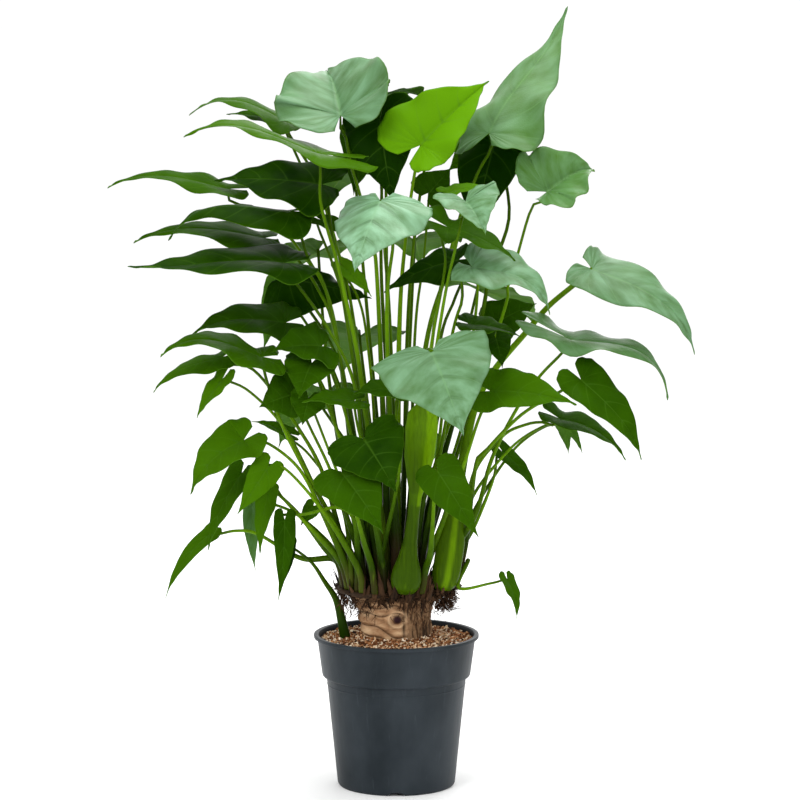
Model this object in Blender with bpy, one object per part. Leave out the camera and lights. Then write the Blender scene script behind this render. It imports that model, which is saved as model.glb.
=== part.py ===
# Potted alocasia: nursery pot, soil, knobbly rhizome and its long-stalked heart-shaped leaves.
# Metres, +Z up. The origin is the middle of the pot's underside, and the plant's front looks along -Y.

import math
import random

import bmesh
import bpy
import numpy as np
from mathutils.bvhtree import BVHTree

# Driving sizes of the pot and what stands in it, in metres
rim_radius = 0.135
pot_height = 0.25
step_height = 0.182
base_radius = 0.096
shoulder_radius = 0.1145
band_foot = 0.1215
band_top = 0.129
lip = 0.0055
wall = 0.0025
boss_radius = 0.025
ring_width = 0.021
recess = 0.005
floor_top = 0.009
notch_width = 0.028
notch_height = 0.006
drain_radius = 0.005
drain_circle = 0.05
drain_count = 6
soil_level = 0.238
trunk_radius = 0.058
trunk_foot = 0.15
crown_level = 0.33
crown_radius = 0.104
husk_count = 20
gap = 0.0003
turn_steps = 36

# Driving sizes of the leaves, in centimetres like the table of leaves
cm = 0.01
blade_thickness = 0.1
blade_clearance = 0.15
stalk_clearance = 0.06
stalk_sides = 4
stalk_steps = 6
reroutes = 6
stalk_tip_radius = 0.24
neck_length = 2.5
foot_rise = 4.5
husk_root = 8.4
stem_room = 0.14
foot_room = 0.25
foot_reach = 8.8
foot_fan = 10.0
foot_lean = 0.15
vein_slant = 0.22
lobe_droop = 1.0
small_leaf = 9.0

# Half a blade's outline from the tip to the widest point, then round the lobe
half_outline = [(1, 0), (0.9, 0.07), (0.78, 0.22), (0.62, 0.47), (0.45, 0.72), (0.26, 0.91), (0.06, 1)]
lobe_outline = [(0.45, 0.99), (0.85, 0.8), (1, 0.5), (0.86, 0.2)]


def leaf(name, joint, tip, face, width, via, **form):
    """A leaf's shape: where stalk and blade join, the tip, the way the upper side looks, the width of
    the blade and points on the stalk."""
    shape = {"lobe": 0.3, "fold": (15, 15), "bend": 0.2, "arch": 0.06, "hook": 0.0, "twist": 0,
             "wave": 0.04, "shoot": name, "foot": None, "base": 0.4 if "shoot" in form else 0.5,
             "level": crown_level / cm}
    shape.update(form)
    shape.update(name=name, width=width, via=[np.array(spot, float) for spot in via])
    for key, spot in (("joint", joint), ("tip", tip), ("face", face)):
        shape[key] = np.array(spot, float)
    return shape


# The leaves, most visible first: sizes in centimetres, folds of the two wings and twist in degrees
leaves = [
    leaf("left_top_1", (-18, 9, 108), (-34, 12, 109), (0, -0.05, 1), 9,
         [(-8, 3, 78), (-9.5, 7, 87), (-13.5, 12, 99)], arch=0.13, hook=0.06, wave=0.05, fold=(12, 0),
          lobe=0.2),
    leaf("left_top_2", (-18.5, 13, 107.5), (-28, 15, 109), (0, -0.35, 1), 6,
         [(-7.5, 4, 79.5), (-13.5, 13, 95.5)], shoot="left_top_1"),
    leaf("left_top_3", (-12.5, -8, 104), (-33.5, -13, 107), (0, -0.05, 1), 15,
         [(-5.5, -8, 67), (-6.5, -8, 73.5), (-8, -8, 80.5), (-9.5, -8, 87), (-12, -8, 96)], lobe=0.42,
          fold=(14, 3), arch=0.05, hook=0.08, wave=0.03, base=0.7),
    leaf("left_upper_1", (-27.5, 4, 97.5), (-47, 6, 97.5), (0, -0.1, 1), 8,
         [(-10, 1, 76), (-15.5, 2, 87.5), (-22, 4, 94)], arch=0.06, hook=0.05, fold=(20, 0), wave=0.06,
          lobe=0.2),
    leaf("left_upper_2", (-12, 0, 98.5), (-29.5, 3, 99), (0, -0.15, 1), 16,
         [(-8, 0, 76.5), (-10, 0, 88)], fold=(28, -8), arch=0.03, lobe=0.2),
    leaf("left_upper_3", (-17, -4, 94.5), (-36.5, -6, 90), (0, -0.05, 1), 12,
         [(-10.5, -4, 78.5), (-14, -4, 86.5), (-15.5, -4, 91.5)], fold=(0, -20), arch=0.08, hook=0.1,
          lobe=0.15),
    leaf("left_upper_4", (-21.5, 4, 89.5), (-42.5, 1, 89), (0, -0.1, 1), 11,
         [(-10, 2, 72), (-13, 3.8, 81), (-17.5, 6, 87)], lobe=0.12, fold=(16, -5), arch=0.06, hook=0.04),
    leaf("left_upper_5", (-18, -6, 86.5), (-42.5, -11, 86.5), (0, -0.1, 1), 15,
         [(-8, -8, 64.5), (-12, -8, 75), (-15, -7, 80.5)], fold=(20, 2), arch=0.05, hook=-0.05,
          lobe=0.2),
    leaf("top_1", (-9, 2, 109.5), (-11.5, 16, 116), (0.1, -0.85, 0.85), 22.5,
         [(-3, 2, 81), (-4, 2, 89.5), (-6, 3, 97), (-7.5, 3, 102), (-8, 3, 105.5)], lobe=0.45,
          fold=(49, 20), bend=0.12, arch=0.1, wave=0.06, base=0.7),
    leaf("top_2", (-2.5, 4, 108.5), (-0.5, 1, 95.5), (-0.3, -1, 0.2), 13,
         [(-2, 4, 74.5), (-2.5, 6, 89)]),
    leaf("top_2b", (-4, 9, 108.5), (-7, 9, 96), (-0.5, -1, 0), 10,
         [(-1, 6, 74.5), (-2, 10, 88.5)], shoot="top_2"),
    leaf("top_3", (4, -2, 105), (15, 3, 115), (-0.2, -1, 0.4), 15.5,
         [(0.5, 0, 75), (1.5, 0, 89.5), (2.5, -1, 97.5)], lobe=0.29, fold=(40, 16), base=0.8),
    leaf("top_4", (15, 4, 106.5), (28.5, 24, 126.5), (-0.4, -0.52, 0.74), 14.5,
         [(5.5, 4, 71), (9.5, 6, 85.5), (13, 7, 98.5)], lobe=0.08, fold=(-14, -6), wave=0.12, arch=0.05,
          hook=-0.08, base=0.8),
    leaf("top_5", (16, 10.5, 104), (12.5, 4, 88.5), (-0.3, -1, 0.1), 11.5,
         [(13.5, 2, 75.5), (14.5, 3, 81), (16.5, 5, 86.5), (18.5, 8, 93.5)], base=0.7),
    leaf("top_6", (24.5, 4, 97), (32.5, 9, 100), (-0.3, -0.55, 0.8), 17,
         [(17, 3, 76), (18, 4, 81), (19.5, 4, 86), (22, 4, 94.5)], lobe=0.4, fold=(22, 58), hook=0.08),
    leaf("top_7", (13.5, 16, 103.5), (8.5, 16, 99.5), (0, -1, 0.4), 6, [(5.5, 7, 74), (9, 13, 88.5)]),
    leaf("top_8", (5.5, 10, 96.5), (9, 10, 100.5), (0, -1, 0.2), 7,
         [(3, 6, 72.5), (4.5, 9, 85.5)], shoot="top_7"),
    leaf("front_top_1", (-2.5, -14, 97), (-6.5, -22, 86.5), (-0.2, -0.8, 0.7), 16.5,
         [(-1.5, -6, 77), (-0.5, -10, 90.5)], lobe=0.15, fold=(-20, -4), base=0.8),
    leaf("front_top_2", (11, -10, 96.5), (14, -18, 92), (0, -0.6, 0.85), 12,
         [(7, -8, 77), (9.5, -12, 90)], lobe=0.2, fold=(30, 30)),
    leaf("front_top_3", (8.5, -3, 97.5), (15.5, -3, 98), (0, -0.3, 1), 5,
         [(4.5, -3, 75.5), (8, 1, 91)], shoot="front_top_5"),
    leaf("front_top_4", (12, -8, 86), (24.5, -10, 78.5), (0, -0.15, 1), 13,
         [(8.5, -6, 72.5), (10.5, -7, 80.5)], fold=(0, 35), lobe=0.15, arch=0.1, hook=0.09),
    leaf("front_top_5", (8.5, -6, 92), (19, -9, 87), (0, -0.1, 1), 8,
         [(7, -5, 74), (8.5, -5, 86)], lobe=0.45, wave=0.1, fold=(0, 30)),
    leaf("front_top_6", (10, -2, 86.5), (-2, 0, 81), (0, -0.2, 1), 10,
         [(6, -2, 70.5), (9, -2, 80)], fold=(25, -12), lobe=0.15),
    leaf("front_top_7", (-12, 2, 92.5), (-5.5, 2, 89), (0, -0.4, 1), 5,
         [(-6.5, 2, 71.5), (-10, 2, 84.5)]),
    leaf("front_top_8", (-8.5, 5, 84.5), (-4, 3, 80), (0, -0.4, 1), 4.5,
         [(-6, 6, 67.5), (-7, 7, 78.5)], shoot="front_top_7"),
    leaf("left_middle_1", (-18.5, 10, 82.5), (-4, 6, 79.5), (0, -1, 0.8), 14.5,
         [(-8.5, 5, 66), (-14.5, 9, 77.5)], lobe=0.12, fold=(5, -35), arch=0.03),
    leaf("left_middle_2", (-19.5, 12, 81), (-22, 12, 71), (0, 1, 0.2), 5,
         [(-8.5, 6, 62.5), (-14, 10, 74)], shoot="back_3"),
    leaf("left_middle_3", (-18, 1, 76), (-33.5, -2, 74), (0, -0.15, 1), 12,
         [(-10.5, -3, 62.5), (-15, -3, 71)], fold=(28, -5), arch=0.08, hook=0.04, lobe=0.2),
    leaf("left_middle_4", (-21.5, -8, 71.5), (-37.5, -12, 72), (0, -0.1, 1), 12,
         [(-14.5, -8, 55), (-16.5, -8, 59), (-19.5, -8, 66)], fold=(18, -4), arch=0.09, hook=0.09,
          lobe=0.2),
    leaf("left_middle_5", (-12, -6, 73), (-20, -9, 72.5), (0, -0.2, 1), 11,
         [(-8, -4, 59.5), (-10.5, -3, 68)], fold=(38, -5), lobe=0.2),
    leaf("left_middle_7", (-13.5, -8, 70.5), (-15.5, -13.5, 65.5), (-0.2, -1, 0.5), 9,
         [(-8.5, -6, 56), (-11.5, -6, 64.5)]),
    leaf("left_middle_8", (-28, -4, 71), (-39, -6, 65.5), (0, -0.3, 1), 6,
         [(-11.5, -4, 51), (-15.5, -4, 59), (-22.5, -4, 68.5)], arch=0.06, hook=0.06, fold=(5, -5),
          lobe=0.15),
    leaf("left_middle_9", (-28, -6, 67.5), (-32, -7, 61.5), (-0.6, -0.6, 0.5), 4.5,
         [(-13, -6, 49.5), (-18, -6, 59.5), (-23.5, -6, 65.5)], lobe=0.35, shoot="left_middle_8"),
    leaf("front_middle_1", (-16.5, -8, 65.5), (-22, -9, 63.5), (-0.3, -1, 0.4), 9,
         [(-10, -7, 51.5), (-14, -8, 60.5)]),
    leaf("front_middle_2", (-14, -10, 65), (-15, -12, 61), (0, -1, 0.3), 6,
         [(-8.5, -7, 50), (-12, -8, 59.5)], shoot="left_middle_7"),
    leaf("front_middle_3", (-7, -12, 65), (-15, -14, 65), (0, -0.4, 1), 7,
         [(-4, -9, 52), (-6, -11, 60)]),
    leaf("front_middle_4", (0, -10, 66.5), (-7, -12, 66), (0, -0.5, 1), 7,
         [(0.5, -8, 53), (0, -9, 61.5)], shoot="front_middle_3"),
    leaf("front_right_1", (5.5, -18, 73.5), (10.5, -24, 61), (0, -0.8, 0.8), 19,
         [(3, -10, 48.5), (4, -11, 60), (4.5, -14, 68.5)], lobe=0.12, fold=(6, 6), foot=(1.5, -8),
          base=1.9),
    leaf("front_right_2", (12, -6, 76.5), (20, -6, 74.5), (0, -0.3, 1), 7,
         [(8, -6, 61), (10, -6, 71.5)]),
    leaf("front_right_3", (16, -4, 74), (17, -7, 69.5), (0.3, -1, 0.2), 5,
         [(10.5, -2, 59), (13.5, -2, 68.5)], shoot="front_right_2"),
    leaf("front_right_4", (16.5, 6, 75.5), (23, 7, 78.5), (0, -0.8, 0.6), 8,
         [(9, 5, 58), (13.5, 6, 69.5)]),
    leaf("right_1", (31.5, -2, 85), (48, -5, 71.5), (0.1, -0.35, 1), 13,
         [(10, -4, 52), (12, -3, 62.5), (15, -2, 68.5), (20, -2, 74.5), (24, -2, 79), (29, -2, 83)],
          lobe=0.13, fold=(0, 15), arch=0.1, hook=0.07, foot=(7.2, -4.5), base=1.7),
    leaf("right_2", (28, -6, 74), (43.5, -8, 64.5), (0, -0.15, 1), 8.6,
         [(12, -7, 45.5), (14.5, -6, 54.5), (18.5, -6, 62.5), (22.5, -6, 68), (26.5, -6, 72)],
          lobe=0.5, fold=(0, 14), arch=0.13, hook=0.12, wave=0.07),
    leaf("right_3", (29.5, -10, 68), (39, -13, 55.5), (0.1, -0.65, 0.9), 8.8,
         [(11.5, -9, 53.5), (13.5, -9, 56.5), (19.5, -10, 62.5), (26.5, -10, 66.5)], lobe=0.2,
          arch=0.08, hook=0.06),
    leaf("right_4", (26.5, -5, 61), (37, -6, 54.5), (0, -0.3, 1), 7,
         [(11, -6, 51.5), (16, -5, 58), (20, -5, 60), (23, -5, 60.5)], lobe=0.3, arch=0.13),
    leaf("right_5", (27, 2, 59), (28, 1, 54.5), (0.5, 0.6, 0.3), 3,
         [(12, 0, 47), (18.5, 1, 55.5), (24, 2, 59)], shoot="right_4"),
    leaf("right_6", (28, 5, 58.5), (30.5, 5, 54), (0.5, 0.6, 0.5), 2.5,
         [(13, 2, 45.5), (19, 4, 54.5), (24.5, 5, 58.5)], shoot="right_4"),
    leaf("right_8", (15, -12, 66.5), (28.5, -17, 65), (0, -0.7, 0.9), 10.5,
         [(10.5, -10, 53.5), (13, -11, 61.5)], lobe=0.2),
    leaf("right_9", (17.5, 2, 54.5), (23, 2, 47.5), (0.2, -0.5, 0.8), 4,
         [(12, 1, 42), (15.5, 2, 50)], arch=0.1),
    leaf("left_low_1", (-24.5, -8, 58), (-33, -10, 49.5), (-0.55, -0.8, 0.6), 9.5,
         [(-11.5, -6, 45), (-15.5, -6.5, 53), (-20.5, -8, 57.5)], fold=(20, 15), arch=0.17, lobe=0.25),
    leaf("left_low_2", (-17.5, 0, 58), (-23.5, 0, 60), (0, -0.4, 1), 4,
         [(-11, 0, 47), (-15, 0, 54.5)], shoot="left_low_1"),
    leaf("left_low_3", (-20.5, -10, 54), (-25.5, -12, 46.5), (0.3, -1, 0.5), 5.2,
         [(-12, -9, 47), (-17.5, -10, 53.5)], lobe=0.2),
    leaf("left_low_4", (-25, -4, 52), (-30.5, -5, 39.5), (-0.6, -0.8, 0.3), 5.4,
         [(-11.5, -3, 39.5), (-16.5, -3, 46), (-21.5, -3, 50.5)], lobe=0.15, arch=0.09),
    leaf("left_low_5", (-30, -4, 42), (-37.5, -6, 31.5), (-0.5, -0.7, 0.5), 3.6,
         [(-15.5, -4, 38), (-22.5, -4, 42), (-26, -4, 42.5)], lobe=0.12, arch=0.12),
    leaf("left_low_6", (-20.5, -6, 49.5), (-22, -6, 39), (-0.6, -0.8, 0.1), 4.4,
         [(-12.5, -6, 42), (-18, -6, 48)], lobe=0.15),
    leaf("left_low_8", (-23.5, 1, 46), (-23, 1, 35), (-0.4, -0.9, 0.2), 3.4,
         [(-11.5, 0, 40.5), (-17, 1, 45)], shoot="left_low_6", lobe=0.15),
    leaf("left_low_9", (-18, -8, 45), (-19, -9, 32), (0.4, -1, 0.1), 4,
         [(-8, -8, 45), (-10.5, -8, 47), (-15, -8, 46)], lobe=0.15),
    leaf("left_low_10", (-13.5, -4, 46.5), (-15.5, -4, 43.5), (-0.3, -1, 0.2), 3,
         [(-9.5, -6, 41), (-12, -5.5, 46)], shoot="left_low_9"),
    leaf("left_low_11", (-17.5, -4, 40), (-18.5, -5, 33.5), (0.2, -1, 0.1), 2.6,
         [(-8.7, 0, 26), (-9.8, 0, 30.5), (-11.7, -1, 33.8), (-13.5, -3, 37), (-15.5, -4, 39)],
          foot=(-8.3, 0), base=0.9, level=19),
    leaf("front_low_1", (-5, -18, 59.5), (0, -23, 52), (0, -1, 0.5), 13,
         [(-3.5, -11, 45.5), (-4.5, -14, 54)], lobe=0.2),
    leaf("front_low_2", (-8.5, -20, 54.5), (-2, -24, 45.5), (0, -0.9, 0.8), 10.6,
         [(-5, -12, 41.5), (-7, -16, 49.5)], lobe=0.15),
    leaf("front_low_3", (6.5, -18, 54.5), (13, -22, 44.5), (-0.2, -1, 0.7), 7.6,
         [(5.5, -11, 40.5), (6, -14, 49.5)], lobe=0.15),
    leaf("right_low_1", (18, -4, 34.5), (19.5, -6, 28.5), (0.8, -0.7, 0.3), 3.6,
         [(8.5, -5, 33.5), (14.5, -4, 34)], lobe=0.25, arch=0.1, base=0.35),
    leaf("back_1", (-7, 14, 100), (-12, 32, 93), (0, 0.3, 1), 15, []),
    leaf("back_2", (7, 15, 106), (11, 33, 100), (0, 0.3, 1), 15, []),
    leaf("back_3", (-13, 18, 86), (-22, 34, 78), (-0.2, 0.4, 1), 15, []),
    leaf("back_4", (3, 17, 88), (4, 36, 82), (0, 0.3, 1), 16, []),
    leaf("back_5", (14, 14, 80), (24, 29, 72), (0.3, 0.3, 1), 14, []),
    leaf("back_6", (-6, 17, 72), (-9, 35, 64), (0, 0.5, 1), 15, []),
    leaf("back_7", (8, 17, 66), (13, 34, 57), (0.1, 0.5, 1), 14, []),
    leaf("back_8", (-13, 12, 62), (-20, 26, 52), (-0.3, 0.5, 1), 12, [], shoot="back_5"),
    leaf("back_9", (2, 14, 54), (3, 29, 44), (0, 0.6, 1), 12, [], shoot="back_7"),
    leaf("back_10", (-2, 9, 112), (-6, 26, 108), (0, 0.2, 1), 13, [], shoot="back_1"),
]


def unit(vector):
    return vector / np.linalg.norm(vector)


def spline(points, count):
    """A smooth line through the points, as count + 1 samples."""
    points = np.array(points, float)
    points = np.vstack([2 * points[0] - points[1], points, 2 * points[-1] - points[-2]])
    samples = []
    for number in range(count + 1):
        place = number * (len(points) - 3) / count
        first = min(int(place), len(points) - 4)
        t = place - first
        a, b, c, d = points[first:first + 4]
        samples.append(0.5 * (2 * b + (c - a) * t + (2 * a - 5 * b + 4 * c - d) * t * t
                              + (3 * b - a - 3 * c + d) * t ** 3))
    return np.array(samples)


def axes_of(shape):
    """Length of the midrib, and the unit vectors along it, across the blade and out of its upper side."""
    reach = shape["tip"] - shape["joint"]
    along = unit(reach)
    face = unit(shape["face"] - along * (shape["face"] @ along))
    return np.linalg.norm(reach), along, np.cross(face, along), face


def on_blade(shape, axes, u, v):
    """The point of a bent blade at u along its midrib, as a share, and v across it in centimetres."""
    length, along, across, face = axes
    k = max(u, 0)
    bow = shape["arch"] * (4 if u > 0 else lobe_droop)
    rise = bow * u * (1 - k) + 6.75 * shape["hook"] * k * k * (1 - k)
    slope = bow * (1 - 2 * k) + 6.75 * shape["hook"] * (2 * k - 3 * k * k)
    spot = shape["joint"] + length * (along * u + face * rise)
    up = unit(face - along * slope)
    turn = math.radians(shape["twist"]) * k
    side = across * math.cos(turn) + up * math.sin(turn)
    up = up * math.cos(turn) - across * math.sin(turn)
    lift = math.radians(shape["fold"][0] if v < 0 else shape["fold"][1])
    share = 2 * abs(v) / shape["width"]
    phase = (1.0 if v < 0 else 3.6) + shape["phase"]
    wave = shape["wave"] * shape["width"] * share ** 2 * math.sin(4.4 * math.pi * u + phase)
    height = abs(v) * (math.sin(lift) - shape["bend"] * share) + wave
    return spot + v * math.cos(lift) * side + up * height


def blade_sheet(shape, rows, steps):
    """Points and triangles of one blade, in rows that follow its veins from the midrib to the margin."""
    axes = axes_of(shape)
    edge = spline(half_outline + [(-shape["lobe"] * x, y) for x, y in lobe_outline], rows)
    points, index, faces = [], {}, []

    def corner(side, row, step):
        x, y = edge[row]
        root = max(0.0, x - vein_slant * y)
        key = "tip" if row == 0 else (side, row, step) if step else round(root, 6)
        if key not in index:
            share = step / steps
            index[key] = len(points)
            across = side * y * share * shape["width"] / 2
            points.append(on_blade(shape, axes, root + (x - root) * share, across))
        return index[key]

    for side in (-1, 1):
        for row in range(rows):
            for step in range(steps):
                ring = [corner(side, row, step), corner(side, row + 1, step),
                        corner(side, row + 1, step + 1), corner(side, row, step + 1)]
                ring = [at for number, at in enumerate(ring) if at != ring[number - 1]][::-side]
                faces += [(ring[0], ring[n], ring[n + 1]) for n in range(1, len(ring) - 1)]
    return np.array(points), faces


def blade_grid(shape):
    """Rows and steps of the grid: fewer on a small leaf."""
    return (6, 2) if axes_of(shape)[0] > small_leaf else (5, 1)


def both_sides(points, faces, thickness):
    """The two faces of a sheet that far apart, without its rim, for testing what it touches."""
    normals = np.zeros_like(points)
    for face in faces:
        a, b, c = points[list(face)]
        normals[list(face)] += np.cross(b - a, c - a)
    normals /= np.linalg.norm(normals, axis=1, keepdims=True)
    count = len(points)
    both = np.vstack([points + normals * thickness / 2, points - normals * thickness / 2])
    return both, faces + [tuple(count + at for at in face) for face in faces]


def tube(path, radii, sides):
    """Points and faces of a closed bar along a path whose first end is flat and level."""
    points, faces = [], []
    across = np.array([1.0, 0, 0])
    for number, spot in enumerate(path):
        before, after = path[max(number - 1, 0)], path[min(number + 1, len(path) - 1)]
        along = unit(after - before) if number else np.array([0, 0, 1.0])
        across = unit(across - along * (across @ along))
        other = np.cross(along, across)
        for side in range(sides):
            angle = 2 * math.pi * side / sides
            points.append(spot + radii[number] * (across * math.cos(angle) + other * math.sin(angle)))
    for ring in range(len(path) - 1):
        for side in range(sides):
            a, b = ring * sides + side, ring * sides + (side + 1) % sides
            faces += [(a, b, b + sides), (a, b + sides, a + sides)]
    last = (len(path) - 1) * sides
    faces += [(0, side + 1, side) for side in range(1, sides - 1)]
    faces += [(last, last + side, last + side + 1) for side in range(1, sides - 1)]
    return np.array(points), faces


def tree_of(solids):
    """One search tree of all the triangles of some solids."""
    points, faces = [], []
    for some, rings in solids:
        faces += [tuple(int(at) + len(points) for at in ring) for ring in rings]
        points += [tuple(point) for point in some]
    return BVHTree.FromPolygons(points, faces)


def place_feet(shapes):
    """Each shoot's foot on the crown, pushed clear of the others. A stalk that leans stands further out."""
    first = {shape["shoot"]: shape for shape in reversed(shapes)}
    shoots = list(first)
    joints = np.array([first[shoot]["joint"] for shoot in shoots])
    spread = np.linalg.norm(joints[:, :2], axis=1, keepdims=True)
    lean = spread / (joints[:, 2:] - crown_level / cm).clip(1)
    spots = joints[:, :2] / spread * np.minimum(foot_reach, foot_fan * lean)
    widths = np.array([first[shoot]["base"] for shoot in shoots])
    room = widths[:, None] + widths[None, :] + foot_room
    for _ in range(800):
        apart = spots[:, None] - spots[None, :]
        distance = np.linalg.norm(apart, axis=2) + 0.001
        push = np.clip(room - distance, 0, None)
        np.fill_diagonal(push, 0)
        spots = spots + (apart / distance[..., None] * push[..., None]).sum(axis=1) * 0.25
        for number, shoot in enumerate(shoots):
            if first[shoot]["foot"] is not None:
                spots[number] = first[shoot]["foot"]
        far = np.linalg.norm(spots, axis=1, keepdims=True)
        fixed = np.array([[first[shoot]["foot"] is not None] for shoot in shoots])
        spots = np.where((far > foot_reach) & ~fixed, spots * foot_reach / far, spots)
    for shape in shapes:
        shape["spot"] = spots[shoots.index(shape["shoot"])]


def place_blades(shapes):
    """Moves each blade the least way that keeps it clear of the others, and gives its test solid."""
    moves = [np.zeros(3)]
    for reach in range(1, 7):
        moves += [np.array([0, reach, 0.0]), np.array([0, -reach, 0.0])]
        moves += [np.array([0, reach / 2, reach / 2]), np.array([0, reach / 2, -reach / 2])]
        moves += [np.array([0, -reach / 2, reach / 2]), np.array([0, -reach / 2, -reach / 2])]
    placed = []
    for shape in shapes:
        joint, tip = shape["joint"], shape["tip"]
        shape["phase"] = joint[0]
        before = tree_of(placed) if placed else None
        best = None
        for move in moves:
            shape.update(joint=joint + move, tip=tip + move)
            points, faces = blade_sheet(shape, *blade_grid(shape))
            solid = both_sides(points, faces, blade_thickness + 2 * blade_clearance)
            hits = len(tree_of([solid]).overlap(before)) if before else 0
            if best is None or hits < best[0]:
                best = (hits, move, solid)
            if hits == 0:
                break
        shape.update(joint=joint + best[1], tip=tip + best[1])
        shape["via"] = [spot + best[1] / 2 for spot in shape["via"]]
        shape["blade_hits"] = best[0]
        placed.append(best[2])
    return placed


def stalk_line(shape, bow, count):
    """The stalk's path from its foot on the crown to its joint, and its radius along it."""
    foot = np.array([shape["spot"][0], shape["spot"][1], shape["level"] + gap / cm])
    length, along, _, face = axes_of(shape)
    neck = shape["joint"] - unit(along * 0.35 + face * 0.95) * min(neck_length, length * 0.15)
    lean = foot_lean if shape["level"] > soil_level / cm else 0.0
    over = foot + np.array([foot[0] * lean, foot[1] * lean, foot_rise])
    smooth = spline([foot, over] + shape["via"] + [neck, shape["joint"]], 60)
    far = np.append(0, np.cumsum(np.linalg.norm(np.diff(smooth, axis=0), axis=1)))
    share = np.linspace(0, 1, count + 1) ** 1.25
    path = np.stack([np.interp(share * far[-1], far, smooth[:, axis]) for axis in range(3)], axis=1)
    swell = np.sin(np.pi * share ** bow[3])
    path = path + np.outer(swell, bow[:3])
    thin = stalk_tip_radius * (0.75 + 0.25 * min(1.0, length / 15))
    radii = thin + (shape["base"] - thin) * (1 - share) ** 1.6
    radii[-1] *= 0.5
    return path, radii


def place_stalks(shapes, blades):
    """Bows each stalk the least way that keeps it clear of blades and of other stalks."""
    bows = [np.array([0, 0, 0, 1.0])]
    for reach in (0.6, 1.2, 1.8, 2.6, 3.6, 4.8, 6.2, 8.0):
        for place in (1.0, 0.6, 1.6):
            for eighth in range(8):
                angle = math.pi * eighth / 4
                bows.append(np.array([reach * math.cos(angle), reach * math.sin(angle), 0.0, place]))
    own = [tree_of([blade]) for blade in blades]
    order = list(range(len(shapes)))
    for _ in range(reroutes):
        placed = {}
        for number in order:
            shape = shapes[number]
            others = [blade for at, blade in enumerate(blades) if at != number]
            others += [solid for other, solid in placed.items()
                       if shapes[other]["shoot"] != shape["shoot"]]
            before = tree_of(others)
            best = None
            for bow in bows:
                path, radii = stalk_line(shape, bow, stalk_steps)
                solid = tube(path, radii + stalk_clearance, stalk_sides)
                lower = tube(path[:-1], radii[:-1] + stalk_clearance, stalk_sides)
                hits = len(tree_of([solid]).overlap(before))
                hits += 3 * len(tree_of([lower]).overlap(own[number]))
                if best is None or hits < best[0]:
                    best = (hits, bow, solid)
                if hits == 0:
                    break
            shape["stalk_hits"], shape["bow"], placed[number] = best
        blocked = [number for number in order if shapes[number]["stalk_hits"]]
        print("stalks that touch:", [shapes[number]["name"] for number in blocked])
        if not blocked:
            break
        order = blocked + [number for number in order if number not in blocked]


def material(name, colour, roughness):
    made = bpy.data.materials.new(name)
    made.use_nodes = True
    shader = made.node_tree.nodes["Principled BSDF"]
    shader.inputs["Base Color"].default_value = (*colour, 1)
    shader.inputs["Roughness"].default_value = roughness
    return made


def mesh_object(name, points, faces, surface):
    mesh = bpy.data.meshes.new(name)
    mesh.from_pydata([tuple(point) for point in points], [], faces)
    made = bpy.data.objects.new(name, mesh)
    bpy.context.scene.collection.objects.link(made)
    mesh.materials.append(surface)
    return made


def apply_modifiers(made):
    """Keeps the object's shape as its modifiers leave it, and removes them."""
    bpy.context.view_layer.update()
    graph = bpy.context.evaluated_depsgraph_get()
    shaped = bpy.data.meshes.new_from_object(made.evaluated_get(graph))
    made.modifiers.clear()
    made.data = shaped


def unite(made, helpers):
    """Joins loose solids to the object in one union, and removes them."""
    pieces = bpy.data.collections.new(made.name + "_pieces")
    bpy.context.scene.collection.children.link(pieces)
    for helper in helpers:
        bpy.context.scene.collection.objects.unlink(helper)
        pieces.objects.link(helper)
    union = made.modifiers.new("Union", "BOOLEAN")
    union.operation = "UNION"
    union.operand_type = "COLLECTION"
    union.collection = pieces
    apply_modifiers(made)
    for helper in helpers:
        bpy.data.objects.remove(helper)
    bpy.data.collections.remove(pieces)


def cut(made, cutter):
    """Cuts the object by a wire-shown helper that is left out of the render."""
    cutter.hide_render = True
    cutter.display_type = "WIRE"
    cutting = made.modifiers.new("Cut " + cutter.name, "BOOLEAN")
    cutting.operation = "DIFFERENCE"
    cutting.object = cutter


def turned(name, profile, surface):
    """A round piece turned from its half section, which runs down the outer side."""
    edges = [(number, number + 1) for number in range(len(profile) - 1)]
    mesh = bpy.data.meshes.new(name)
    mesh.from_pydata([(radius, 0, height) for radius, height in profile], edges, [])
    made = bpy.data.objects.new(name, mesh)
    bpy.context.scene.collection.objects.link(made)
    mesh.materials.append(surface)
    screw = made.modifiers.new("Turn", "SCREW")
    screw.steps = screw.render_steps = turn_steps
    screw.use_merge_vertices = True
    screw.merge_threshold = 0.00001
    return made


def cylinder(name, radius, depth, place, sides=16):
    mesh = bpy.data.meshes.new(name)
    shape = bmesh.new()
    bmesh.ops.create_cone(shape, cap_ends=True, segments=sides, radius1=radius, radius2=radius,
                          depth=depth)
    shape.to_mesh(mesh)
    shape.free()
    made = bpy.data.objects.new(name, mesh)
    made.location = place
    bpy.context.scene.collection.objects.link(made)
    return made


def block(name, size, place, turn):
    mesh = bpy.data.meshes.new(name)
    shape = bmesh.new()
    bmesh.ops.create_cube(shape, size=1)
    bmesh.ops.scale(shape, vec=size, verts=shape.verts)
    shape.to_mesh(mesh)
    shape.free()
    made = bpy.data.objects.new(name, mesh)
    made.location = place
    made.rotation_euler.z = turn
    bpy.context.scene.collection.objects.link(made)
    return made


def close_rings(rings, sides):
    """Triangles of a closed body of rings, with a middle point below and above them."""
    faces = [(0, 1 + (side + 1) % sides, 1 + side) for side in range(sides)]
    for ring in range(rings - 1):
        for side in range(sides):
            a, b = 1 + ring * sides + side, 1 + ring * sides + (side + 1) % sides
            faces += [(a, b, b + sides), (a, b + sides, a + sides)]
    start = 1 + (rings - 1) * sides
    for side in range(sides):
        faces.append((start + side, start + (side + 1) % sides, start + sides))
    return faces


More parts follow.
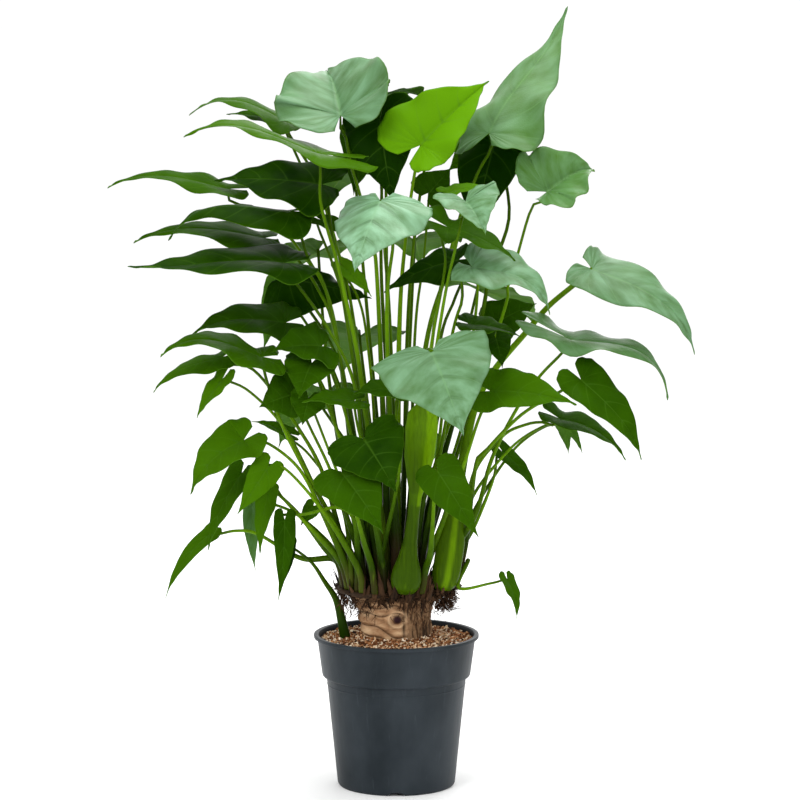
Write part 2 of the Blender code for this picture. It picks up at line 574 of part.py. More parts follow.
def pot_wall_radius(height):
    """Outer radius of the pot's body below the step."""
    return base_radius + (shoulder_radius - base_radius) * height / step_height


def make_pot(surface):
    shoulder = pot_wall_radius(step_height)
    profile = [(0, floor_top), (base_radius - wall, floor_top), (shoulder - wall, step_height),
               (band_foot - wall, step_height + 0.004), (band_top - wall, pot_height - 0.004),
               (band_top - wall, pot_height - 0.0015), (band_top - wall + 0.0015, pot_height),
               (rim_radius - 0.0015, pot_height), (rim_radius, pot_height - 0.0015),
               (rim_radius, pot_height - lip), (band_top + 0.0005, pot_height - lip),
               (band_foot, step_height + 0.003), (band_foot - 0.001, step_height),
               (shoulder, step_height - 0.002), (pot_wall_radius(0.004), 0.004),
               (base_radius - 0.002, 0), (base_radius - ring_width, 0),
               (base_radius - ring_width, recess), (boss_radius, recess), (boss_radius, 0), (0, 0)]
    pot = turned("pot", profile, surface)
    for number in range(4):
        angle = number * math.pi / 2
        reach = base_radius - ring_width / 2
        place = (reach * math.cos(angle), reach * math.sin(angle), 0)
        size = (ring_width + 0.01, notch_width, 2 * notch_height)
        cut(pot, block(f"notch_{number}", size, place, angle))
    for number in range(drain_count):
        angle = (number + 0.5) * 2 * math.pi / drain_count
        place = (drain_circle * math.cos(angle), drain_circle * math.sin(angle), floor_top)
        cut(pot, cylinder(f"drain_{number}", drain_radius, 0.03, place, 12))
    return pot


def soil_wall(height):
    """Radius of the soil at that height, just inside the pot."""
    low, high = (floor_top, base_radius), (step_height, pot_wall_radius(step_height))
    if height > step_height:
        low, high = (step_height + 0.004, band_foot), (pot_height - 0.004, band_top)
    share = (height - low[0]) / (high[0] - low[0])
    return low[1] + (high[1] - low[1]) * share - wall - 0.0008


def make_soil(surface, stems):
    """Soil with an uneven top and a plain hole for the trunk and for each stem that stands in it."""
    draw = random.Random(4)
    levels = (floor_top + gap, step_height, step_height + 0.006)
    outline = [(soil_wall(height), height) for height in levels]
    outline += [(soil_wall(soil_level), soil_level - 0.003)]
    outline += [(radius, soil_level) for radius in (0.11, 0.095, 0.08, 0.066)]
    sides = turn_steps // 2
    points, faces = [(0, 0, floor_top + gap)], []
    for radius, height in outline:
        for side in range(sides):
            angle = 2 * math.pi * side / sides
            level = height + (draw.uniform(-0.003, 0.003) if height == soil_level else 0)
            points.append((radius * math.cos(angle), radius * math.sin(angle), level))
    points.append((0, 0, soil_level))
    faces += close_rings(len(outline), sides)
    soil = mesh_object("soil", points, faces, surface)
    depth = soil_level - trunk_foot + 0.03
    place = (0, 0, trunk_foot - gap + depth / 2)
    cut(soil, cylinder("trunk_hole", trunk_radius + gap, depth, place, 20))
    for number, (x, y, radius, foot) in enumerate(stems):
        depth = soil_level - foot + 0.03
        cut(soil, cylinder(f"stem_hole_{number}", radius, depth, (x, y, foot - gap + depth / 2), 10))
    return soil


def trunk_section(height):
    """Radius of the trunk at that height: a straight foot, a ringed neck and a spreading crown."""
    stops = [(trunk_foot, 0.95), (soil_level + 0.004, 0.97), (0.255, 1.02), (0.268, 0.97),
             (0.281, 1.06), (0.292, 1.04), (0.303, 1.2), (0.312, 1.36), (0.32, 1.66),
             (crown_level - 0.003, 1.79)]
    for (low, near), (high, far) in zip(stops, stops[1:]):
        if height <= high:
            return trunk_radius * (near + (far - near) * (height - low) / (high - low))
    return trunk_radius * stops[-1][1]


def make_rhizome(surface, husks):
    sides = 20
    heights = [trunk_foot, soil_level + 0.002, 0.248, 0.255, 0.262, 0.268, 0.275, 0.281, 0.287,
               0.292, 0.298, 0.303, 0.312, 0.32, crown_level - 0.003, crown_level]
    points = [(0, 0, trunk_foot)]
    for height in heights:
        free = min(1.0, max(0.0, (height - soil_level - 0.002) / 0.03))
        for side in range(sides):
            angle = 2 * math.pi * side / sides
            waves = 0.05 * math.sin(2 * angle + 0.6) + 0.045 * math.sin(5 * angle + 60 * height)
            section = trunk_section(height) if height < crown_level else crown_radius * 0.93
            radius = section * (1 + free * waves)
            points.append((radius * math.cos(angle), radius * math.sin(angle), height))
    points.append((0, 0, crown_level))
    faces = close_rings(len(heights), sides)
    rhizome = mesh_object("rhizome", points, faces, surface)
    unite(rhizome, husks)
    return rhizome


def make_husks(surface, plants):
    """Old leaf bases round the crown's edge: pointed scraps that lean out, each clear of every stalk."""
    draw = random.Random(11)
    before = tree_of(plants)
    husks = []
    for number in range(husk_count):
        angle = 2 * math.pi * (number + draw.uniform(-0.3, 0.3)) / husk_count
        length, width = draw.uniform(2.2, 4.2), draw.uniform(0.5, 1.0)
        lean, turn = draw.uniform(-0.1, 0.9), draw.uniform(-0.4, 0.4)
        out = np.array([math.cos(angle), math.sin(angle), 0])
        round_it = np.array([-math.sin(angle), math.cos(angle), 0])
        for shorter in (1.0, 0.75, 0.5, 0.35):
            foot = out * husk_root + np.array([0, 0, crown_level / cm - 1.0])
            reach = (out * lean + round_it * turn + np.array([0, 0, 0.8])) * length * shorter
            path = [foot, foot + reach * 0.5 + out * 0.3, foot + reach]
            points, faces = [], []
            for share, spot in zip((1.0, 0.8, 0.08), path):
                for x, y in ((-1, -0.3), (1, -0.3), (0, 0.35)):
                    points.append(spot + width * share * (round_it * x * 0.5 + out * y))
            for ring in (0, 3):
                for side in range(3):
                    a, b = ring + side, ring + (side + 1) % 3
                    faces += [(a, b, b + 3), (a, b + 3, a + 3)]
            faces += [(0, 2, 1), (6, 7, 8)]
            if not tree_of([(points, faces)]).overlap(before):
                husks.append(mesh_object(f"husk_{number}", np.array(points) * cm, faces, surface))
                break
    return husks


def make_leaf(shape, surface, number):
    """The blade and its stalk as two loose closed solids."""
    points, faces = blade_sheet(shape, *blade_grid(shape))
    blade = mesh_object(f"blade_{number}", points * cm, faces, surface)
    skin = blade.modifiers.new("Thickness", "SOLIDIFY")
    skin.thickness = blade_thickness * cm
    skin.offset = 0
    apply_modifiers(blade)
    path, radii = stalk_line(shape, shape["bow"], stalk_steps)
    points, faces = tube(path, radii, stalk_sides)
    return [blade, mesh_object(f"stalk_{number}", points * cm, faces, surface)]


def make_leaves(shapes, surface):
    nodes = []
    for shoot in dict.fromkeys(shape["shoot"] for shape in shapes):
        pieces = []
        for number, shape in enumerate(shapes):
            if shape["shoot"] == shoot:
                pieces += make_leaf(shape, surface, number)
        pieces[0].name = "leaf_" + shoot
        pieces[0].data.materials[0] = surface
        unite(pieces[0], pieces[1:])
        nodes.append(pieces[0])
    return nodes


for old in list(bpy.data.objects):
    bpy.data.objects.remove(old)

place_feet(leaves)
blades = place_blades(leaves)
place_stalks(leaves, blades)
for shape in leaves:
    if shape["blade_hits"] or shape["stalk_hits"]:
        print("touches:", shape["name"], shape["blade_hits"], shape["stalk_hits"])

plastic = material("pot_plastic", (0.033, 0.039, 0.045), 0.45)
bark = material("rhizome_bark", (0.22, 0.12, 0.05), 0.8)
compost = material("bark_soil", (0.16, 0.075, 0.035), 0.95)
green = material("leaf_green", (0.045, 0.16, 0.02), 0.35)

solids = list(blades)
for shape in leaves:
    path, radii = stalk_line(shape, shape["bow"], stalk_steps)
    solids.append(tube(path, radii + stalk_clearance, stalk_sides))
make_pot(plastic)
stems = []
for shape in leaves:
    if shape["level"] < soil_level / cm:
        x, y = shape["spot"] * cm
        stems.append((x, y, (shape["base"] + stem_room) * cm, shape["level"] * cm))
make_soil(compost, stems)
make_rhizome(bark, make_husks(bark, solids))
make_leaves(leaves, green)
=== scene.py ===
# Potted alocasia: fine leaves, rhizome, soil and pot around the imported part.
import math
import random

import bpy
import numpy as np
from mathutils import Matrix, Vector, noise
from mathutils.bvhtree import BVHTree


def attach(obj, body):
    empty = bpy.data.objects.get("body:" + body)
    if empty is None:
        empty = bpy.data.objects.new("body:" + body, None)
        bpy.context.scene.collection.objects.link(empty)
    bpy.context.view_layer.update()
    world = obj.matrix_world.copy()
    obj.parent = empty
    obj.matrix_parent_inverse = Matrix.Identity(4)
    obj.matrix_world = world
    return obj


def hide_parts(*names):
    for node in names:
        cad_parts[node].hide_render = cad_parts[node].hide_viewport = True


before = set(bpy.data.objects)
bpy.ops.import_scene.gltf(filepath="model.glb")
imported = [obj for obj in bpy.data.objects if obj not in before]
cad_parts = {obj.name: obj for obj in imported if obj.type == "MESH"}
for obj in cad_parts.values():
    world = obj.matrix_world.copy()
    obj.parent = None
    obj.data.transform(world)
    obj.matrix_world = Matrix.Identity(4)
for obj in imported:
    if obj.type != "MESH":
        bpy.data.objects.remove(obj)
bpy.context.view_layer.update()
cm = 0.01

# How a leaf's solid is drawn and kept clear, in centimetres: the same as in the part
build = {"bladeThickness": 0.1, "bladeClearance": 0.15, "stalkClearance": 0.06, "stalkSides": 4,
         "stalkSteps": 6, "reroutes": 6, "tipRadius": 0.24, "neck": 2.5, "footRise": 4.5,
         "footRoom": 0.25, "footReach": 8.8, "footFan": 10.0, "footLean": 0.15, "veinSlant": 0.22,
         "lobeDroop": 1.0, "smallLeaf": 9.0, "crown": 33.0, "soil": 23.8, "gap": 0.03}

# Half a blade from the tip to the widest point, then round the lobe: shares of its length and half width
halfOutline = [(1, 0), (0.9, 0.07), (0.78, 0.22), (0.62, 0.47), (0.45, 0.72), (0.26, 0.91), (0.06, 1)]
lobeOutline = [(0.45, 0.99), (0.85, 0.8), (1, 0.5), (0.86, 0.2)]


def leaf(name, joint, tip, face, width, via, **form):
    shape = {"lobe": 0.3, "fold": (15, 15), "bend": 0.2, "arch": 0.06, "hook": 0.0, "twist": 0,
             "wave": 0.04, "shoot": name, "foot": None, "base": 0.4 if "shoot" in form else 0.5,
             "level": build["crown"]}
    shape.update(form)
    shape.update(name=name, width=width, via=[np.array(spot, float) for spot in via])
    for key, spot in (("joint", joint), ("tip", tip), ("face", face)):
        shape[key] = np.array(spot, float)
    return shape


# The leaves, most visible first: sizes in centimetres, folds of the two wings and twist in degrees
leaves = [
    leaf("left_top_1", (-18, 9, 108), (-34, 12, 109), (0, -0.05, 1), 9,
         [(-8, 3, 78), (-9.5, 7, 87), (-13.5, 12, 99)], arch=0.13, hook=0.06, wave=0.05, fold=(12, 0),
          lobe=0.2),
    leaf("left_top_2", (-18.5, 13, 107.5), (-28, 15, 109), (0, -0.35, 1), 6,
         [(-7.5, 4, 79.5), (-13.5, 13, 95.5)], shoot="left_top_1"),
    leaf("left_top_3", (-12.5, -8, 104), (-33.5, -13, 107), (0, -0.05, 1), 15,
         [(-5.5, -8, 67), (-6.5, -8, 73.5), (-8, -8, 80.5), (-9.5, -8, 87), (-12, -8, 96)], lobe=0.42,
          fold=(14, 3), arch=0.05, hook=0.08, wave=0.03, base=0.7),
    leaf("left_upper_1", (-27.5, 4, 97.5), (-47, 6, 97.5), (0, -0.1, 1), 8,
         [(-10, 1, 76), (-15.5, 2, 87.5), (-22, 4, 94)], arch=0.06, hook=0.05, fold=(20, 0), wave=0.06,
          lobe=0.2),
    leaf("left_upper_2", (-12, 0, 98.5), (-29.5, 3, 99), (0, -0.15, 1), 16,
         [(-8, 0, 76.5), (-10, 0, 88)], fold=(28, -8), arch=0.03, lobe=0.2),
    leaf("left_upper_3", (-17, -4, 94.5), (-36.5, -6, 90), (0, -0.05, 1), 12,
         [(-10.5, -4, 78.5), (-14, -4, 86.5), (-15.5, -4, 91.5)], fold=(0, -20), arch=0.08, hook=0.1,
          lobe=0.15),
    leaf("left_upper_4", (-21.5, 4, 89.5), (-42.5, 1, 89), (0, -0.1, 1), 11,
         [(-10, 2, 72), (-13, 3.8, 81), (-17.5, 6, 87)], lobe=0.12, fold=(16, -5), arch=0.06, hook=0.04),
    leaf("left_upper_5", (-18, -6, 86.5), (-42.5, -11, 86.5), (0, -0.1, 1), 15,
         [(-8, -8, 64.5), (-12, -8, 75), (-15, -7, 80.5)], fold=(20, 2), arch=0.05, hook=-0.05,
          lobe=0.2),
    leaf("top_1", (-9, 2, 109.5), (-11.5, 16, 116), (0.1, -0.85, 0.85), 22.5,
         [(-3, 2, 81), (-4, 2, 89.5), (-6, 3, 97), (-7.5, 3, 102), (-8, 3, 105.5)], lobe=0.45,
          fold=(49, 20), bend=0.12, arch=0.1, wave=0.06, base=0.7),
    leaf("top_2", (-2.5, 4, 108.5), (-0.5, 1, 95.5), (-0.3, -1, 0.2), 13,
         [(-2, 4, 74.5), (-2.5, 6, 89)]),
    leaf("top_2b", (-4, 9, 108.5), (-7, 9, 96), (-0.5, -1, 0), 10,
         [(-1, 6, 74.5), (-2, 10, 88.5)], shoot="top_2"),
    leaf("top_3", (4, -2, 105), (15, 3, 115), (-0.2, -1, 0.4), 15.5,
         [(0.5, 0, 75), (1.5, 0, 89.5), (2.5, -1, 97.5)], lobe=0.29, fold=(40, 16), base=0.8),
    leaf("top_4", (15, 4, 106.5), (28.5, 24, 126.5), (-0.4, -0.52, 0.74), 14.5,
         [(5.5, 4, 71), (9.5, 6, 85.5), (13, 7, 98.5)], lobe=0.08, fold=(-14, -6), wave=0.12, arch=0.05,
          hook=-0.08, base=0.8),
    leaf("top_5", (16, 10.5, 104), (12.5, 4, 88.5), (-0.3, -1, 0.1), 11.5,
         [(13.5, 2, 75.5), (14.5, 3, 81), (16.5, 5, 86.5), (18.5, 8, 93.5)], base=0.7),
    leaf("top_6", (24.5, 4, 97), (32.5, 9, 100), (-0.3, -0.55, 0.8), 17,
         [(17, 3, 76), (18, 4, 81), (19.5, 4, 86), (22, 4, 94.5)], lobe=0.4, fold=(22, 58), hook=0.08),
    leaf("top_7", (13.5, 16, 103.5), (8.5, 16, 99.5), (0, -1, 0.4), 6, [(5.5, 7, 74), (9, 13, 88.5)]),
    leaf("top_8", (5.5, 10, 96.5), (9, 10, 100.5), (0, -1, 0.2), 7,
         [(3, 6, 72.5), (4.5, 9, 85.5)], shoot="top_7"),
    leaf("front_top_1", (-2.5, -14, 97), (-6.5, -22, 86.5), (-0.2, -0.8, 0.7), 16.5,
         [(-1.5, -6, 77), (-0.5, -10, 90.5)], lobe=0.15, fold=(-20, -4), base=0.8),
    leaf("front_top_2", (11, -10, 96.5), (14, -18, 92), (0, -0.6, 0.85), 12,
         [(7, -8, 77), (9.5, -12, 90)], lobe=0.2, fold=(30, 30)),
    leaf("front_top_3", (8.5, -3, 97.5), (15.5, -3, 98), (0, -0.3, 1), 5,
         [(4.5, -3, 75.5), (8, 1, 91)], shoot="front_top_5"),
    leaf("front_top_4", (12, -8, 86), (24.5, -10, 78.5), (0, -0.15, 1), 13,
         [(8.5, -6, 72.5), (10.5, -7, 80.5)], fold=(0, 35), lobe=0.15, arch=0.1, hook=0.09),
    leaf("front_top_5", (8.5, -6, 92), (19, -9, 87), (0, -0.1, 1), 8,
         [(7, -5, 74), (8.5, -5, 86)], lobe=0.45, wave=0.1, fold=(0, 30)),
    leaf("front_top_6", (10, -2, 86.5), (-2, 0, 81), (0, -0.2, 1), 10,
         [(6, -2, 70.5), (9, -2, 80)], fold=(25, -12), lobe=0.15),
    leaf("front_top_7", (-12, 2, 92.5), (-5.5, 2, 89), (0, -0.4, 1), 5,
         [(-6.5, 2, 71.5), (-10, 2, 84.5)]),
    leaf("front_top_8", (-8.5, 5, 84.5), (-4, 3, 80), (0, -0.4, 1), 4.5,
         [(-6, 6, 67.5), (-7, 7, 78.5)], shoot="front_top_7"),
    leaf("left_middle_1", (-18.5, 10, 82.5), (-4, 6, 79.5), (0, -1, 0.8), 14.5,
         [(-8.5, 5, 66), (-14.5, 9, 77.5)], lobe=0.12, fold=(5, -35), arch=0.03),
    leaf("left_middle_2", (-19.5, 12, 81), (-22, 12, 71), (0, 1, 0.2), 5,
         [(-8.5, 6, 62.5), (-14, 10, 74)], shoot="back_3"),
    leaf("left_middle_3", (-18, 1, 76), (-33.5, -2, 74), (0, -0.15, 1), 12,
         [(-10.5, -3, 62.5), (-15, -3, 71)], fold=(28, -5), arch=0.08, hook=0.04, lobe=0.2),
    leaf("left_middle_4", (-21.5, -8, 71.5), (-37.5, -12, 72), (0, -0.1, 1), 12,
         [(-14.5, -8, 55), (-16.5, -8, 59), (-19.5, -8, 66)], fold=(18, -4), arch=0.09, hook=0.09,
          lobe=0.2),
    leaf("left_middle_5", (-12, -6, 73), (-20, -9, 72.5), (0, -0.2, 1), 11,
         [(-8, -4, 59.5), (-10.5, -3, 68)], fold=(38, -5), lobe=0.2),
    leaf("left_middle_7", (-13.5, -8, 70.5), (-15.5, -13.5, 65.5), (-0.2, -1, 0.5), 9,
         [(-8.5, -6, 56), (-11.5, -6, 64.5)]),
    leaf("left_middle_8", (-28, -4, 71), (-39, -6, 65.5), (0, -0.3, 1), 6,
         [(-11.5, -4, 51), (-15.5, -4, 59), (-22.5, -4, 68.5)], arch=0.06, hook=0.06, fold=(5, -5),
          lobe=0.15),
    leaf("left_middle_9", (-28, -6, 67.5), (-32, -7, 61.5), (-0.6, -0.6, 0.5), 4.5,
         [(-13, -6, 49.5), (-18, -6, 59.5), (-23.5, -6, 65.5)], lobe=0.35, shoot="left_middle_8"),
    leaf("front_middle_1", (-16.5, -8, 65.5), (-22, -9, 63.5), (-0.3, -1, 0.4), 9,
         [(-10, -7, 51.5), (-14, -8, 60.5)]),
    leaf("front_middle_2", (-14, -10, 65), (-15, -12, 61), (0, -1, 0.3), 6,
         [(-8.5, -7, 50), (-12, -8, 59.5)], shoot="left_middle_7"),
    leaf("front_middle_3", (-7, -12, 65), (-15, -14, 65), (0, -0.4, 1), 7,
         [(-4, -9, 52), (-6, -11, 60)]),
    leaf("front_middle_4", (0, -10, 66.5), (-7, -12, 66), (0, -0.5, 1), 7,
         [(0.5, -8, 53), (0, -9, 61.5)], shoot="front_middle_3"),
    leaf("front_right_1", (5.5, -18, 73.5), (10.5, -24, 61), (0, -0.8, 0.8), 19,
         [(3, -10, 48.5), (4, -11, 60), (4.5, -14, 68.5)], lobe=0.12, fold=(6, 6), foot=(1.5, -8),
          base=1.9),
    leaf("front_right_2", (12, -6, 76.5), (20, -6, 74.5), (0, -0.3, 1), 7,
         [(8, -6, 61), (10, -6, 71.5)]),
    leaf("front_right_3", (16, -4, 74), (17, -7, 69.5), (0.3, -1, 0.2), 5,
         [(10.5, -2, 59), (13.5, -2, 68.5)], shoot="front_right_2"),
    leaf("front_right_4", (16.5, 6, 75.5), (23, 7, 78.5), (0, -0.8, 0.6), 8,
         [(9, 5, 58), (13.5, 6, 69.5)]),
    leaf("right_1", (31.5, -2, 85), (48, -5, 71.5), (0.1, -0.35, 1), 13,
         [(10, -4, 52), (12, -3, 62.5), (15, -2, 68.5), (20, -2, 74.5), (24, -2, 79), (29, -2, 83)],
          lobe=0.13, fold=(0, 15), arch=0.1, hook=0.07, foot=(7.2, -4.5), base=1.7),
    leaf("right_2", (28, -6, 74), (43.5, -8, 64.5), (0, -0.15, 1), 8.6,
         [(12, -7, 45.5), (14.5, -6, 54.5), (18.5, -6, 62.5), (22.5, -6, 68), (26.5, -6, 72)],
          lobe=0.5, fold=(0, 14), arch=0.13, hook=0.12, wave=0.07),
    leaf("right_3", (29.5, -10, 68), (39, -13, 55.5), (0.1, -0.65, 0.9), 8.8,
         [(11.5, -9, 53.5), (13.5, -9, 56.5), (19.5, -10, 62.5), (26.5, -10, 66.5)], lobe=0.2,
          arch=0.08, hook=0.06),
    leaf("right_4", (26.5, -5, 61), (37, -6, 54.5), (0, -0.3, 1), 7,
         [(11, -6, 51.5), (16, -5, 58), (20, -5, 60), (23, -5, 60.5)], lobe=0.3, arch=0.13),
    leaf("right_5", (27, 2, 59), (28, 1, 54.5), (0.5, 0.6, 0.3), 3,
         [(12, 0, 47), (18.5, 1, 55.5), (24, 2, 59)], shoot="right_4"),
    leaf("right_6", (28, 5, 58.5), (30.5, 5, 54), (0.5, 0.6, 0.5), 2.5,
         [(13, 2, 45.5), (19, 4, 54.5), (24.5, 5, 58.5)], shoot="right_4"),
    leaf("right_8", (15, -12, 66.5), (28.5, -17, 65), (0, -0.7, 0.9), 10.5,
         [(10.5, -10, 53.5), (13, -11, 61.5)], lobe=0.2),
    leaf("right_9", (17.5, 2, 54.5), (23, 2, 47.5), (0.2, -0.5, 0.8), 4,
         [(12, 1, 42), (15.5, 2, 50)], arch=0.1),
    leaf("left_low_1", (-24.5, -8, 58), (-33, -10, 49.5), (-0.55, -0.8, 0.6), 9.5,
         [(-11.5, -6, 45), (-15.5, -6.5, 53), (-20.5, -8, 57.5)], fold=(20, 15), arch=0.17, lobe=0.25),
    leaf("left_low_2", (-17.5, 0, 58), (-23.5, 0, 60), (0, -0.4, 1), 4,
         [(-11, 0, 47), (-15, 0, 54.5)], shoot="left_low_1"),
    leaf("left_low_3", (-20.5, -10, 54), (-25.5, -12, 46.5), (0.3, -1, 0.5), 5.2,
         [(-12, -9, 47), (-17.5, -10, 53.5)], lobe=0.2),
    leaf("left_low_4", (-25, -4, 52), (-30.5, -5, 39.5), (-0.6, -0.8, 0.3), 5.4,
         [(-11.5, -3, 39.5), (-16.5, -3, 46), (-21.5, -3, 50.5)], lobe=0.15, arch=0.09),
    leaf("left_low_5", (-30, -4, 42), (-37.5, -6, 31.5), (-0.5, -0.7, 0.5), 3.6,
         [(-15.5, -4, 38), (-22.5, -4, 42), (-26, -4, 42.5)], lobe=0.12, arch=0.12),
    leaf("left_low_6", (-20.5, -6, 49.5), (-22, -6, 39), (-0.6, -0.8, 0.1), 4.4,
         [(-12.5, -6, 42), (-18, -6, 48)], lobe=0.15),
    leaf("left_low_8", (-23.5, 1, 46), (-23, 1, 35), (-0.4, -0.9, 0.2), 3.4,
         [(-11.5, 0, 40.5), (-17, 1, 45)], shoot="left_low_6", lobe=0.15),
    leaf("left_low_9", (-18, -8, 45), (-19, -9, 32), (0.4, -1, 0.1), 4,
         [(-8, -8, 45), (-10.5, -8, 47), (-15, -8, 46)], lobe=0.15),
    leaf("left_low_10", (-13.5, -4, 46.5), (-15.5, -4, 43.5), (-0.3, -1, 0.2), 3,
         [(-9.5, -6, 41), (-12, -5.5, 46)], shoot="left_low_9"),
    leaf("left_low_11", (-17.5, -4, 40), (-18.5, -5, 33.5), (0.2, -1, 0.1), 2.6,
         [(-8.7, 0, 26), (-9.8, 0, 30.5), (-11.7, -1, 33.8), (-13.5, -3, 37), (-15.5, -4, 39)],
          foot=(-8.3, 0), base=0.9, level=19),
    leaf("front_low_1", (-5, -18, 59.5), (0, -23, 52), (0, -1, 0.5), 13,
         [(-3.5, -11, 45.5), (-4.5, -14, 54)], lobe=0.2),
    leaf("front_low_2", (-8.5, -20, 54.5), (-2, -24, 45.5), (0, -0.9, 0.8), 10.6,
         [(-5, -12, 41.5), (-7, -16, 49.5)], lobe=0.15),
    leaf("front_low_3", (6.5, -18, 54.5), (13, -22, 44.5), (-0.2, -1, 0.7), 7.6,
         [(5.5, -11, 40.5), (6, -14, 49.5)], lobe=0.15),
    leaf("right_low_1", (18, -4, 34.5), (19.5, -6, 28.5), (0.8, -0.7, 0.3), 3.6,
         [(8.5, -5, 33.5), (14.5, -4, 34)], lobe=0.25, arch=0.1, base=0.35),
    leaf("back_1", (-7, 14, 100), (-12, 32, 93), (0, 0.3, 1), 15, []),
    leaf("back_2", (7, 15, 106), (11, 33, 100), (0, 0.3, 1), 15, []),
    leaf("back_3", (-13, 18, 86), (-22, 34, 78), (-0.2, 0.4, 1), 15, []),
    leaf("back_4", (3, 17, 88), (4, 36, 82), (0, 0.3, 1), 16, []),
    leaf("back_5", (14, 14, 80), (24, 29, 72), (0.3, 0.3, 1), 14, []),
    leaf("back_6", (-6, 17, 72), (-9, 35, 64), (0, 0.5, 1), 15, []),
    leaf("back_7", (8, 17, 66), (13, 34, 57), (0.1, 0.5, 1), 14, []),
    leaf("back_8", (-13, 12, 62), (-20, 26, 52), (-0.3, 0.5, 1), 12, [], shoot="back_5"),
    leaf("back_9", (2, 14, 54), (3, 29, 44), (0, 0.6, 1), 12, [], shoot="back_7"),
    leaf("back_10", (-2, 9, 112), (-6, 26, 108), (0, 0.2, 1), 13, [], shoot="back_1"),
]


def unit(vector):
    return vector / np.linalg.norm(vector)


def spline(points, count):
    points = np.array(points, float)
    points = np.vstack([2 * points[0] - points[1], points, 2 * points[-1] - points[-2]])
    samples = []
    for number in range(count + 1):
        place = number * (len(points) - 3) / count
        first = min(int(place), len(points) - 4)
        t = place - first
        a, b, c, d = points[first:first + 4]
        samples.append(0.5 * (2 * b + (c - a) * t + (2 * a - 5 * b + 4 * c - d) * t * t
                              + (3 * b - a - 3 * c + d) * t ** 3))
    return np.array(samples)


def axesOf(shape):
    reach = shape["tip"] - shape["joint"]
    along = unit(reach)
    face = unit(shape["face"] - along * (shape["face"] @ along))
    return np.linalg.norm(reach), along, np.cross(face, along), face


def onBlade(shape, u, v):
    # u runs along the midrib as a share, v across it in centimetres; both are arrays
    length, along, across, face = axesOf(shape)
    k = np.maximum(u, 0)
    bow = shape["arch"] * np.where(u > 0, 4, build["lobeDroop"])
    rise = bow * u * (1 - k) + 6.75 * shape["hook"] * k * k * (1 - k)
    slope = bow * (1 - 2 * k) + 6.75 * shape["hook"] * (2 * k - 3 * k * k)
    spot = shape["joint"] + length * (np.outer(u, along) + np.outer(rise, face))
    up = face - np.outer(slope, along)
    up /= np.linalg.norm(up, axis=1, keepdims=True)
    turn = (math.radians(shape["twist"]) * k)[:, None]
    side = across * np.cos(turn) + up * np.sin(turn)
    up = up * np.cos(turn) - across * np.sin(turn)
    lift = np.radians(np.where(v < 0, shape["fold"][0], shape["fold"][1]))
    share = 2 * np.abs(v) / shape["width"]
    phase = np.where(v < 0, 1.0, 3.6) + shape["phase"]
    wave = shape["wave"] * shape["width"] * share ** 2 * np.sin(4.4 * math.pi * u + phase)
    height = np.abs(v) * (np.sin(lift) - shape["bend"] * share) + wave
    return spot + (v * np.cos(lift))[:, None] * side + up * height[:, None]


def bladeSheet(shape, rows, steps):
    # rows follow the veins from the midrib to the margin; each corner keeps its row and its step
    edge = spline(halfOutline + [(-shape["lobe"] * x, y) for x, y in lobeOutline], rows)
    u, v, spots, index, faces, corners = [], [], [], {}, [], []

    def corner(side, row, step):
        x, y = edge[row]
        root = max(0.0, x - build["veinSlant"] * y)
        key = "tip" if row == 0 else (side, row, step) if step else round(root, 6)
        if key not in index:
            share = step / steps
            index[key] = len(u)
            u.append(root + (x - root) * share)
            v.append(side * y * share * shape["width"] / 2)
            spots.append((row / rows, share, side, u[-1]))
        return index[key]

    for side in (-1, 1):
        for row in range(rows):
            for step in range(steps):
                ring = [(row, step), (row + 1, step), (row + 1, step + 1), (row, step + 1)]
                found = [(corner(side, *at), (at[0] / rows, side * at[1] / steps)) for at in ring]
                found = [at for number, at in enumerate(found) if at[0] != found[number - 1][0]]
                found = found[::-side]
                for n in range(1, len(found) - 1):
                    three = (found[0], found[n], found[n + 1])
                    faces.append([at[0] for at in three])
                    corners.append([at[1] for at in three])
    points = onBlade(shape, np.array(u), np.array(v))
    return points, faces, np.array(corners), np.array(spots)


def bladeGrid(shape):
    return (6, 2) if axesOf(shape)[0] > build["smallLeaf"] else (5, 1)


def normalsOf(points, faces):
    faces = np.array(faces)
    a, b, c = (points[faces[:, n]] for n in range(3))
    across = np.cross(b - a, c - a)
    normals = np.zeros_like(points)
    for n in range(3):
        np.add.at(normals, faces[:, n], across)
    return normals / np.linalg.norm(normals, axis=1, keepdims=True).clip(1e-9)


def bothSides(points, faces, thickness):
    normals = normalsOf(points, faces)
    count = len(points)
    both = np.vstack([points + normals * thickness / 2, points - normals * thickness / 2])
    return both, faces + [tuple(count + at for at in face) for face in faces]


def tube(path, radii, sides):
    points, faces = [], []
    across = np.array([1.0, 0, 0])
    for number, spot in enumerate(path):
        before, after = path[max(number - 1, 0)], path[min(number + 1, len(path) - 1)]
        along = unit(after - before) if number else np.array([0, 0, 1.0])
        across = unit(across - along * (across @ along))
        other = np.cross(along, across)
        angles = 2 * math.pi * np.arange(sides) / sides
        wide, deep = np.broadcast_to(radii[number], 2)
        spots = spot + np.outer(wide * np.cos(angles), across)
        points += list(spots + np.outer(deep * np.sin(angles), other))
    for ring in range(len(path) - 1):
        for side in range(sides):
            a, b = ring * sides + side, ring * sides + (side + 1) % sides
            faces += [(a, b, b + sides), (a, b + sides, a + sides)]
    last = (len(path) - 1) * sides
    faces += [(0, side + 1, side) for side in range(1, sides - 1)]
    faces += [(last, last + side, last + side + 1) for side in range(1, sides - 1)]
    return np.array(points), faces


def treeOf(solids):
    points, faces = [], []
    for some, rings in solids:
        faces += [tuple(int(at) + len(points) for at in ring) for ring in rings]
        points += [tuple(point) for point in some]
    return BVHTree.FromPolygons(points, faces)


